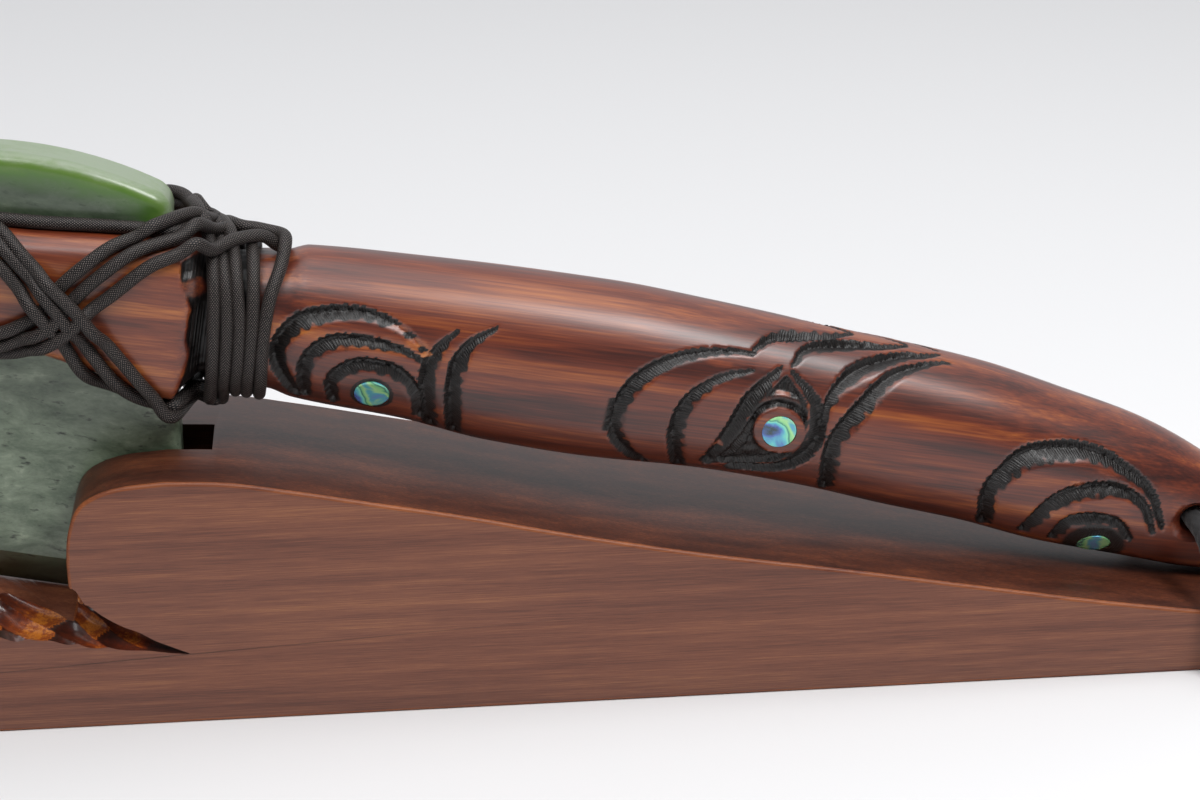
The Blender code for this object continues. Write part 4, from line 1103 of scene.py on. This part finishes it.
def eyes(surface):
    """Six shell discs: turned flat, edges eased, the top polished to a low dome."""
    for side, word in ((-1, "near"), (1, "far")):
        for number, (station, rise) in enumerate(EYES):
            bpy.ops.object.select_all(action="DESELECT")
            bpy.ops.mesh.primitive_cylinder_add(vertices=72, radius=EYE_DIAMETER / 2, depth=EYE_THICKNESS)
            piece = bpy.context.active_object
            bpy.ops.object.mode_set(mode="EDIT")
            bpy.ops.mesh.select_all(action="DESELECT")
            bpy.ops.object.mode_set(mode="OBJECT")
            for face in piece.data.polygons:
                face.select = face.normal.z > 0.9
            bpy.ops.object.mode_set(mode="EDIT")
            # the top is inset ring by ring, and raised each time, into a low dome
            for share in (0.12, 0.2, 0.3, 0.45, 0.7):
                bpy.ops.mesh.inset(thickness=share * MM)
                bpy.ops.transform.translate(value=(0, 0, (0.8 - share) * 0.05 * MM))
            bpy.ops.object.mode_set(mode="OBJECT")
            piece.data.transform(Matrix.Translation((0, 0, -EYE_SUNK - EYE_THICKNESS / 2)))
            piece.data.transform(eye_frame(station, rise * MM, side))
            of_pair = f"{word}_{number + 1}"
            finish_piece(piece, "shell_disc_" + of_pair, surface, "paua_shell", "paua_eye_" + of_pair)


def beside_blade(station, lift):
    """How far round the haft a cord of this lift lies just clear of the blade's face."""
    clear = STONE_THICKNESS / 2 + MORTISE_CLEARANCE + LASHING_DIAMETER / 2 + GAP
    arounds = np.linspace(0.99, 0.3, 70)
    return float(np.interp(clear, -haft_ring(station, arounds, lift)[:, 1], arounds))


def past_blade(rise):
    """The first station where a cord at this height clears the blade's end."""
    clear = blade_half_width(rise) + MORTISE_CLEARANCE + LASHING_DIAMETER / 2 + GAP
    return HEAD_STATION + (clear - HEAD_LENGTH) / MM


def under_head(station):
    """How low a cord that passes under the head reaches at a station."""
    middle, half_height = haft_section(station)[:2]
    return middle - half_height - LASHING_STANDOFF - LASHING_DIAMETER


def girdle_half():
    """The near half of the cord that girds the blade, from behind the head to its front."""
    lift = LASHING_DIAMETER / 2 + LASHING_STANDOFF
    return [(-RIDGES[0], 1.0), *((s, beside_blade(s, lift) + off) for s, off in GIRDLE)]


def rising_half(number, pitch):
    """The near half of a strand that rises over the head's face from under its left end."""
    start = -past_blade(under_head(-HEAD_STATION)) - (2 - number) * pitch
    return [(start, -1.0), (start + 0.1, -0.85), (start + 1.2, -0.69), *RISING[number]]


def falling_half(number, pitch):
    """The near half of a strand that falls over the head's face to pass under the neck."""
    low = past_blade(under_head(HEAD_STATION)) + pitch * number
    left = FALLING[number][0][0] - 0.9
    return [(left, 1.0), *FALLING[number], (low, -0.8), (low + 1.2, -0.9), (low + 1.6, -1.0)]


def mirrored(half, middle):
    """A whole loop from its near half, mirrored to the far side at the given way round."""
    return half + [(s, 2 * middle - v) for s, v in half[-2::-1]]


def lashing_loops():
    """Each closed loop of cord as (station, around, order); a later one lies over an earlier one."""
    pitch = (LASHING_DIAMETER + LASHING_SPACING) / MM
    loops = [[(s, v, -1) for s, v in mirrored(NECK_RING, 1)]]
    for turn, (ridge, wrap) in enumerate(zip(RIDGES, NECK_WRAPS)):
        half = girdle_half() if turn == 0 else rising_half(turn - 1, pitch)
        half = [*half, (ridge, 1.0), *wrap]
        middle = len(half) - 1
        whole = mirrored(half, 3)
        loops.append([(s, v, 2 * turn + (k > middle)) for k, (s, v) in enumerate(whole)])
    for number in range(len(FALLING)):
        half = falling_half(number, pitch)
        orders = [3.5 + 2 * number] * (len(half) - 3) + [-2, -2, -2]
        whole = [(s, v, order) for (s, v), order in zip(half, orders)]
        loops.append(whole[::-1] + [(s, 2 - v, order) for s, v, order in whole[1:]])
    return loops


def unrolled(loop, step):
    """A loop's points about a step apart, smooth on the haft's surface as if it were laid flat."""
    flat = [(s, (1 - v) * quarter_length(s), order) for s, v, order in loop]
    return [(s, 1 - g / quarter_length(s), order) for s, g, order in along_curve(flat, step)]


def over_and_under(lines):
    """How far each point of each line is lifted where the line lies over others."""
    girth = quarter_length(0)
    flat = [np.array([(s, v * girth, order) for s, v, order in line]) for line in lines]
    lift = LASHING_DIAMETER - LASHING_BITE
    lifts = [np.zeros(len(line)) for line in flat]
    for one, a in enumerate(flat):
        travel = np.concatenate([[0], np.cumsum(np.linalg.norm(np.diff(a[:, :2], axis=0), axis=1))])
        way_a = np.diff(a[:, :2], axis=0)[:, None]
        for b in flat:
            way_b = np.diff(b[:, :2], axis=0)[None]
            turn = way_a[..., 0] * way_b[..., 1] - way_a[..., 1] * way_b[..., 0]
            turn = np.where(np.abs(turn) < 1e-9, np.inf, turn)
            # once round the haft is 4, so the other line is met again a turn or two away
            for wrap in (-8, -4, 0, 4, 8):
                start = (b[:-1, :2] + (0, wrap * girth))[None] - a[:-1, :2][:, None]
                on_a = (start[..., 0] * way_b[..., 1] - start[..., 1] * way_b[..., 0]) / turn
                on_b = (start[..., 0] * way_a[..., 1] - start[..., 1] * way_a[..., 0]) / turn
                over = (on_a >= 0) & (on_a < 1) & (on_b >= 0) & (on_b < 1)
                over &= a[:-1, 2][:, None] > b[:-1, 2][None]
                for i in np.flatnonzero(over.any(axis=1)):
                    # the line lies high for 1.13 diameters each way, and is down again after twice that
                    away = np.abs(travel - travel[i]) * MM
                    rise = np.clip(2 - away / (1.13 * LASHING_DIAMETER), 0, 1)
                    lifts[one] = np.maximum(lifts[one], lift * rise * rise * (3 - 2 * rise))
    return lifts


def lashing(surface):
    """The cord that binds blade and haft, drawn taut so that its courses run smooth."""
    radius = LASHING_DIAMETER / 2
    base = radius + LASHING_STANDOFF
    lines = [unrolled(loop, LASHING_STEP) for loop in lashing_loops()]
    courses = []
    for line, lifts in zip(lines, over_and_under(lines)):
        course = np.array([haft_point(s, v, base + lift) for (s, v, order), lift in zip(line, lifts)][:-1])
        for _ in range(LASHING_SMOOTHING):
            course = 0.25 * np.roll(course, 1, axis=0) + 0.5 * course + 0.25 * np.roll(course, -1, axis=0)
        courses.append(course)
    piece = cord_mesh("lashing_cord", courses, radius, 16, True)
    return finish_piece(piece, "lashing_cord", surface, "black_cord", "lashing")


# Materials


def haft_wood():
    """Hardwood, stained dark and lacquered: streaky grain along the haft, black in the carving, with a
    painted highlight along the head's top.
    """
    made, tree, shader = new_material("lacquered_hardwood")
    place = add_node(tree, "TexCoord").outputs["Object"]
    turned = add_node(
        tree, "Mapping", {"Vector": place, "Rotation": (0, HEAD_TILT, 0)}, vector_type="TEXTURE"
    )
    # grain streaks about 0.5 mm thick and 25 mm long, in bands about 5 mm thick
    fine = add_node(tree, "Mapping", {"Vector": turned, "Scale": per_metre(25, 0.5263, 0.5263)})
    streaks = add_node(tree, "TexNoise", {"Vector": fine, "Scale": 1, "Detail": 4, "Roughness": 0.6})
    broad = add_node(tree, "Mapping", {"Vector": turned, "Scale": per_metre(90.91, 5.882, 5.263)})
    bands = add_node(
        tree, "TexNoise",
        {"Vector": broad, "Scale": 1, "Detail": 3, "Roughness": 0.55, "Distortion": 0.4},
    )
    grain = add_node(tree, "Mix", {"Factor": 0.38, "A": bands, "B": streaks})
    dark = [(0.3, "#220906"), (0.42, "#48190d"), (0.53, "#6b2c15"), (0.64, "#934c1f"), (0.76, "#bd7732")]
    stained = add_node(tree, "ValToRGB", {"Fac": grain}, dark)
    # pale wood for the head and the worn patches, and for the painted highlight along the head's top
    pale = [(0.36, "#62260f"), (0.5, "#863e20"), (0.64, "#b87038")]
    bare_and_top_highlight = add_node(tree, "ValToRGB", {"Fac": grain}, pale)
    carved = add_node(tree, "UVMap", uv_map="carved")
    marks = add_node(tree, "SeparateXYZ", {"Vector": carved})
    wood = add_node(tree, "Mix", {"Factor": marks.outputs["Y"], "A": stained, "B": bare_and_top_highlight}, data_type="RGBA")
    # fibres torn by the gouge, about 1.6 mm apart, and its scratches across each stroke, 0.7 mm apart
    torn = add_node(
        tree, "TexNoise", {"Vector": turned, "Scale": per_metre(1.613)[0], "Detail": 5, "Roughness": 0.75}
    )
    stroke_way = add_node(tree, "UVMap", uv_map="stroke_way")
    scratches = {
        "Vector": stroke_way, "Scale": WAVE_LENGTH / 0.7, "Distortion": 7, "Detail": 4,
        "Detail Scale": 1.6, "Detail Roughness": 0.7,
    }
    scratched = add_node(tree, "TexWave", scratches).outputs["Fac"]
    uneven = add_node(tree, "Math", {0: torn, 1: 0.5, 2: -0.25}, operation="MULTIPLY_ADD")
    stain = add_node(tree, "Math", {0: marks.outputs["X"], 1: uneven}, operation="SUBTRACT")
    amount = add_node(tree, "MapRange", {"Value": stain, "From Min": 0.12, "From Max": 0.5})
    black = add_node(tree, "ValToRGB", {"Fac": scratched}, [(0.25, "#040303"), (0.8, "#1a1311")])
    colour = add_node(tree, "Mix", {"Factor": amount, "A": wood, "B": black}, data_type="RGBA")
    scored = add_node(tree, "Mix", {"Factor": 0.6, "A": scratched, "B": torn})
    height = add_node(tree, "Mix", {"Factor": marks.outputs["X"], "A": streaks, "B": scored})
    strength = add_node(tree, "MapRange", {"Value": marks.outputs["X"], "To Min": 0.12, "To Max": 0.75})
    bump = add_node(tree, "Bump", {"Height": height, "Strength": strength, "Distance": 0.25 * MM})
    # the lacquer lies thin in the carving
    lacquer = add_node(tree, "MapRange", {"Value": amount, "To Min": 0.55, "To Max": 0.1})
    set_sockets(
        tree, shader,
        {
            "Base Color": colour, "Roughness": 0.42, "IOR": 1.5, "Coat Weight": lacquer,
            "Coat Roughness": 0.3, "Normal": bump,
        },
    )
    return made


def stand_wood(name, roughness, stops, coat):
    """Softwood, stained brown, with a satin finish: straight fine grain along the plank."""
    made, tree, shader = new_material(name)
    place = add_node(tree, "TexCoord").outputs["Object"]
    # pores and fine grain about 0.3 mm thick and 16 mm long, in bands 3 to 4 mm thick
    fine = add_node(tree, "Mapping", {"Vector": place, "Scale": per_metre(16.13, 0.3333, 0.2778)})
    streaks = add_node(tree, "TexNoise", {"Vector": fine, "Scale": 1, "Detail": 6, "Roughness": 0.75})
    broad = add_node(tree, "Mapping", {"Vector": place, "Scale": per_metre(111.1, 4.167, 3.03)})
    bands = add_node(tree, "TexNoise", {"Vector": broad, "Scale": 1, "Detail": 3, "Roughness": 0.5})
    grain = add_node(tree, "Mix", {"Factor": 0.62, "A": bands, "B": streaks})
    wood = add_node(tree, "ValToRGB", {"Fac": grain}, stops)
    bump = add_node(tree, "Bump", {"Height": streaks, "Strength": 0.15, "Distance": 0.2 * MM})
    set_sockets(
        tree, shader,
        {
            "Base Color": wood, "Roughness": roughness, "IOR": 1.5, "Coat Weight": coat,
            "Coat Roughness": 0.25, "Normal": bump,
        },
    )
    return made


def gouged_wood():
    """Softwood, gouged and thickly lacquered: dark red, with a painted highlight in orange where each cut
    runs out.
    """
    made, tree, shader = new_material("gouged_lacquered_softwood")
    gouged = add_node(tree, "UVMap", uv_map="gouged")
    cut = add_node(tree, "SeparateXYZ", {"Vector": gouged})
    # the stain takes unevenly, in mottles about 2 mm across
    place = add_node(tree, "TexCoord").outputs["Object"]
    mottle = add_node(
        tree, "TexNoise", {"Vector": place, "Scale": per_metre(1.786)[0], "Detail": 6, "Roughness": 0.8}
    )
    tone = add_node(tree, "Math", {0: mottle, 1: 1.3, 2: -0.65}, operation="MULTIPLY_ADD")
    lit = add_node(tree, "Math", {0: cut.outputs["Y"], 1: tone})
    # the orange is a painted highlight where each cut turns up to the light at its end
    stops = [(0.0, "#2c110a"), (0.36, "#54200f"), (0.62, "#84380f"), (0.82, "#c47424"), (0.96, "#843a16")]
    wood = add_node(tree, "ValToRGB", {"Fac": lit}, stops)
    set_sockets(
        tree, shader,
        {"Base Color": wood, "Roughness": 0.4, "IOR": 1.5, "Coat Weight": 0.8, "Coat Roughness": 0.16},
    )
    return made


def nephrite():
    """Nephrite jade, ground and polished: clouded green with dark flecks, a painted bright glow under the
    poll, and painted shade over the haft and towards the edge.
    """
    made, tree, shader = new_material("polished_nephrite")
    place = add_node(tree, "TexCoord").outputs["Object"]
    centred = add_node(
        tree, "Mapping",
        {"Vector": place, "Location": tuple(HEAD_PLACE), "Rotation": (0, HEAD_TILT, 0)},
        vector_type="TEXTURE",
    )
    # clouds 12 mm long and 6 mm across along the stone's grain, and flecks 4 by 1.6 mm
    drawn = add_node(
        tree, "Mapping",
        {"Vector": centred, "Scale": per_metre(12.5, 5.882, 5.882), "Rotation": (0, 0.35, 0)},
    )
    clouds = add_node(
        tree, "TexNoise",
        {"Vector": drawn, "Scale": 1, "Detail": 9, "Roughness": 0.7, "Distortion": 0.25},
    )
    specks = add_node(tree, "Mapping", {"Vector": centred, "Scale": per_metre(3.846, 1.613, 1.613)})
    flecks = add_node(tree, "TexNoise", {"Vector": specks, "Scale": 1, "Detail": 3, "Roughness": 0.55})
    stops = [(0.3, "#34452d"), (0.42, "#53624e"), (0.5, "#66745f"), (0.58, "#778570"), (0.7, "#9ca890")]
    body = add_node(tree, "ValToRGB", {"Fac": clouds}, stops)
    fleck = add_node(tree, "MapRange", {"Value": flecks, "From Min": 0.6, "From Max": 0.72})
    speckled = add_node(
        tree, "Mix", {"Factor": fleck, "A": body, "B": linear("#122010")}, data_type="RGBA"
    )
    # the painted glow: the poll's top paler and bright green under it, as light shines through the thin
    # stone; it goes by how far a place is in from the arched poll and from its right end
    split = add_node(tree, "SeparateXYZ", {"Vector": centred})
    upward = add_node(tree, "Math", {0: split.outputs["Z"], 1: POLL_RADIUS - POLL_TOP})
    flat = add_node(tree, "CombineXYZ", {"X": split.outputs["X"], "Z": upward})
    reach = add_node(tree, "VectorMath", {0: flat}, operation="LENGTH")
    inward, sideward = (
        add_node(tree, "MapRange", {"Value": value, "From Min": skin, "From Max": skin - PAINTED_GLOW_REACH})
        for value, skin in ((reach, POLL_RADIUS), (split.outputs["X"], POLL_HALF_WIDTH))
    )
    nearer = add_node(tree, "Math", {0: inward, 1: sideward, 2: 0.25}, operation="SMOOTH_MIN")
    wavy = add_node(tree, "Math", {0: clouds, 1: 0.3, 2: -0.15}, operation="MULTIPLY_ADD")
    depth = add_node(tree, "Math", {0: nearer, 1: wavy})
    stops = [(0.0, "#88967d"), (0.1, "#607d3c"), (0.2, "#4c7526"), (0.32, "#44682a"), (0.48, "#3a4f34")]
    painted_glow = add_node(tree, "ValToRGB", {"Fac": depth}, stops)
    inner = add_node(tree, "MapRange", {"Value": depth, "From Min": 0.16, "From Max": 0.42})
    # over the haft the stone is darker, a painted shade, and under it there is no painted glow
    upper = add_node(
        tree, "MapRange", {"Value": split.outputs["Z"], "From Min": 2 * MM, "From Max": 10 * MM}
    )
    shaded = add_node(tree, "Math", {0: upper, 1: 0.55}, operation="MULTIPLY")
    shady = add_node(
        tree, "Mix", {"Factor": shaded, "A": speckled, "B": linear("#2c3a27")}, data_type="RGBA"
    )
    lower = add_node(tree, "Math", {0: 1.0, 1: upper}, operation="SUBTRACT")
    plain = add_node(tree, "Math", {0: inner, 1: lower}, operation="MAXIMUM")
    whole = add_node(tree, "Mix", {"Factor": plain, "A": painted_glow, "B": shady}, data_type="RGBA")
    # towards the ground edge, down in the stand's valley, the stone is darker: painted shade
    ground = add_node(
        tree, "MapRange",
        {
            "Value": split.outputs["Z"], "From Min": -BLADE_DROP + BEVEL_HEIGHT * 1.6,
            "From Max": -BLADE_DROP + BEVEL_HEIGHT * 0.5,
        },
    )
    dark = add_node(tree, "Math", {0: ground, 1: 0.75}, operation="MULTIPLY")
    colour = add_node(
        tree, "Mix", {"Factor": dark, "A": whole, "B": linear("#1a2410")}, data_type="RGBA"
    )
    set_sockets(
        tree, shader,
        {
            "Base Color": colour, "Roughness": 0.3, "IOR": 1.61, "Subsurface Weight": 0.12,
            "Subsurface Radius": (1.0, 1.6, 0.8), "Subsurface Scale": 1 * MM,
        },
    )
    return made


def satin_cord():
    """Satin cord, braided from fine shiny black yarn, which glints grey in tiny slanted stitches painted
    into its colour.
    """
    made, tree, shader = new_material("braided_satin_cord")
    way = add_node(tree, "UVMap", uv_map="cord_way")
    # yarns cross at a slant every 0.45 mm, about as fine as the render can show
    yarns = []
    for slant in (52, -52):
        turned = add_node(tree, "Mapping", {"Vector": way, "Rotation": (0, 0, math.radians(slant))})
        yarn = {"Vector": turned, "Scale": WAVE_LENGTH / 0.45, "Distortion": 2.2, "Detail": 2}
        yarns.append(add_node(tree, "TexWave", yarn).outputs["Fac"])
    braid = add_node(tree, "Math", {0: yarns[0], 1: yarns[1]}, operation="MULTIPLY")
    fuzz = add_node(tree, "TexNoise", {"Vector": way, "Scale": 1.5, "Detail": 5, "Roughness": 0.8})
    painted_glints = add_node(tree, "Math", {0: braid, 1: fuzz}, operation="MULTIPLY")
    # the grey stitches in the colour are painted glints
    stops = [(0.04, "#060506"), (0.2, "#100e0e"), (0.42, "#7a6f6a")]
    colour = add_node(tree, "ValToRGB", {"Fac": painted_glints}, stops)
    bump = add_node(tree, "Bump", {"Height": painted_glints, "Strength": 0.8, "Distance": 0.2 * MM})
    set_sockets(
        tree, shader,
        {
            "Base Color": colour, "Roughness": 0.45, "Specular IOR Level": 0.3, "Sheen Weight": 0.05,
            "Sheen Roughness": 0.35, "Sheen Tint": linear("#b5a8a2"), "Normal": bump,
        },
    )
    return made


def plaited_cord():
    """Cotton cord, plaited and dyed black: matt, with the strands in the mesh and the yarn in the bump."""
    made, tree, shader = new_material("plaited_cotton")
    way = add_node(tree, "UVMap", uv_map="cord_way")
    # fibres about 0.6 mm long and 0.15 mm thick
    drawn = add_node(tree, "Mapping", {"Vector": way, "Scale": (1.0, 4.0, 1.0)})
    fibre = add_node(tree, "TexNoise", {"Vector": drawn, "Scale": 1.6, "Detail": 5, "Roughness": 0.7})
    stops = [(0.3, "#080808"), (0.55, "#1b1a1b"), (0.8, "#333133")]
    colour = add_node(tree, "ValToRGB", {"Fac": fibre}, stops)
    bump = add_node(tree, "Bump", {"Height": fibre, "Strength": 0.5, "Distance": 0.2 * MM})
    set_sockets(
        tree, shader,
        {
            "Base Color": colour, "Roughness": 0.75, "Sheen Weight": 0.2, "Sheen Roughness": 0.5,
            "Normal": bump,
        },
    )
    return made


def paua_shell():
    """Shell, cut and polished: swirling layers of blue and green with dark lines between them."""
    made, tree, shader = new_material("polished_paua_shell")
    place = add_node(tree, "TexCoord").outputs["Object"]
    # growth layers about 6 mm apart, bent and folded where the disc cuts them
    swirl = add_node(
        tree, "TexNoise", {"Vector": place, "Scale": per_metre(5.882)[0], "Detail": 3, "Distortion": 0.9}
    )
    folds = {"Vector": place, "Scale": 55, "Distortion": 5, "Detail": 2, "Detail Scale": 1.2}
    layers = add_node(tree, "TexWave", folds, bands_direction="DIAGONAL").outputs["Fac"]
    both = add_node(tree, "Mix", {"Factor": 0.45, "A": swirl, "B": layers})
    stops = [
        (0.2, "#1a3a44"), (0.3, "#4a6cb8"), (0.38, "#5cc0cf"), (0.46, "#86e3bb"), (0.52, "#2f7f78"),
        (0.58, "#7fd08c"), (0.66, "#a9e39a"), (0.74, "#4fb0c0"), (0.85, "#6f7fd0"),
    ]
    colour = add_node(tree, "ValToRGB", {"Fac": both}, stops)
    set_sockets(
        tree, shader,
        {
            "Base Color": colour, "Roughness": 0.12, "Metallic": 0.35, "IOR": 1.6, "Coat Weight": 1.0,
            "Coat Roughness": 0.03,
        },
    )
    return made


def studio():
    """A pale floor under a bright ceiling, dim behind the camera, with three softboxes."""
    bpy.ops.mesh.primitive_plane_add(size=6)
    floor = bpy.context.active_object
    floor.name = "floor"
    made, tree, shader = new_material("white_table")
    set_sockets(
        tree, shader, {"Base Color": linear("#e3e3e4"), "Roughness": 0.9, "Specular IOR Level": 0.1}
    )
    floor.data.materials.append(made)
    world = bpy.data.worlds.new("studio")
    bpy.context.scene.world = world
    world.use_nodes = True
    tree = world.node_tree
    way = add_node(tree, "TexCoord").outputs["Generated"]
    upward = add_node(tree, "VectorMath", {0: way, 1: (0, 0.7, 0.8)}, operation="DOT_PRODUCT")
    bright = add_node(
        tree, "MapRange",
        {"Value": upward, "From Min": 0.05, "From Max": 1.0, "To Min": 0.05, "To Max": 0.84},
        interpolation_type="SMOOTHSTEP",
    )
    set_sockets(tree, tree.nodes["Background"], {"Color": linear("#f2f3f6"), "Strength": bright})
    # softboxes: place, aim, width and height in metres, and watts
    lights = [
        ("ceiling_panel", (0.0, 0.1, 1.3), (0.0, 0.1, 0.0), 1.2, 0.8, 4.6),
        ("right_softbox", (0.5, -0.55, 1.02), (0.05, 0.0, 0.08), 0.36, 0.36, 8.0),
        ("front_softbox", (-0.35, -0.75, 1.4), (-0.1, -0.1, 0.0), 0.9, 0.5, 8.3),
    ]
    for name, place, aim, width, height, power in lights:
        light = bpy.data.lights.new(name, "AREA")
        light.shape = "RECTANGLE"
        light.size = width
        light.size_y = height
        light.energy = power
        lamp = bpy.data.objects.new(name, light)
        bpy.context.scene.collection.objects.link(lamp)
        lamp.location = place
        lamp.rotation_euler = (Vector(aim) - Vector(place)).to_track_quat("-Z", "Y").to_euler()
    bpy.context.scene.view_settings.view_transform = "Standard"


set_camera()
wrist_cord(plaited_cord())
haft(haft_wood())
stone(nephrite())
stand(
    stand_wood(
        "stained_softwood", 0.42,
        [(0.3, "#4a281b"), (0.43, "#623525"), (0.53, "#784631"), (0.63, "#8f5a3b"), (0.75, "#b47f50")], 0.15,
    ),
    # the darker copy for the top and end faces holds painted shade under the haft as well as the end grain's
    # deeper stain
    stand_wood(
        "stained_softwood_edge_painted_shade", 0.45,
        [(0.3, "#260f09"), (0.44, "#3f1e13"), (0.54, "#552b1b"), (0.64, "#6f3c24"), (0.75, "#965830")], 0.1,
    ),
    stand_wood("rubbed_softwood_arris", 0.5, [(0.35, "#5a2512"), (0.7, "#a8602f")], 0.0),
    gouged_wood(),
)
eyes(paua_shell())
lashing(satin_cord())
studio()
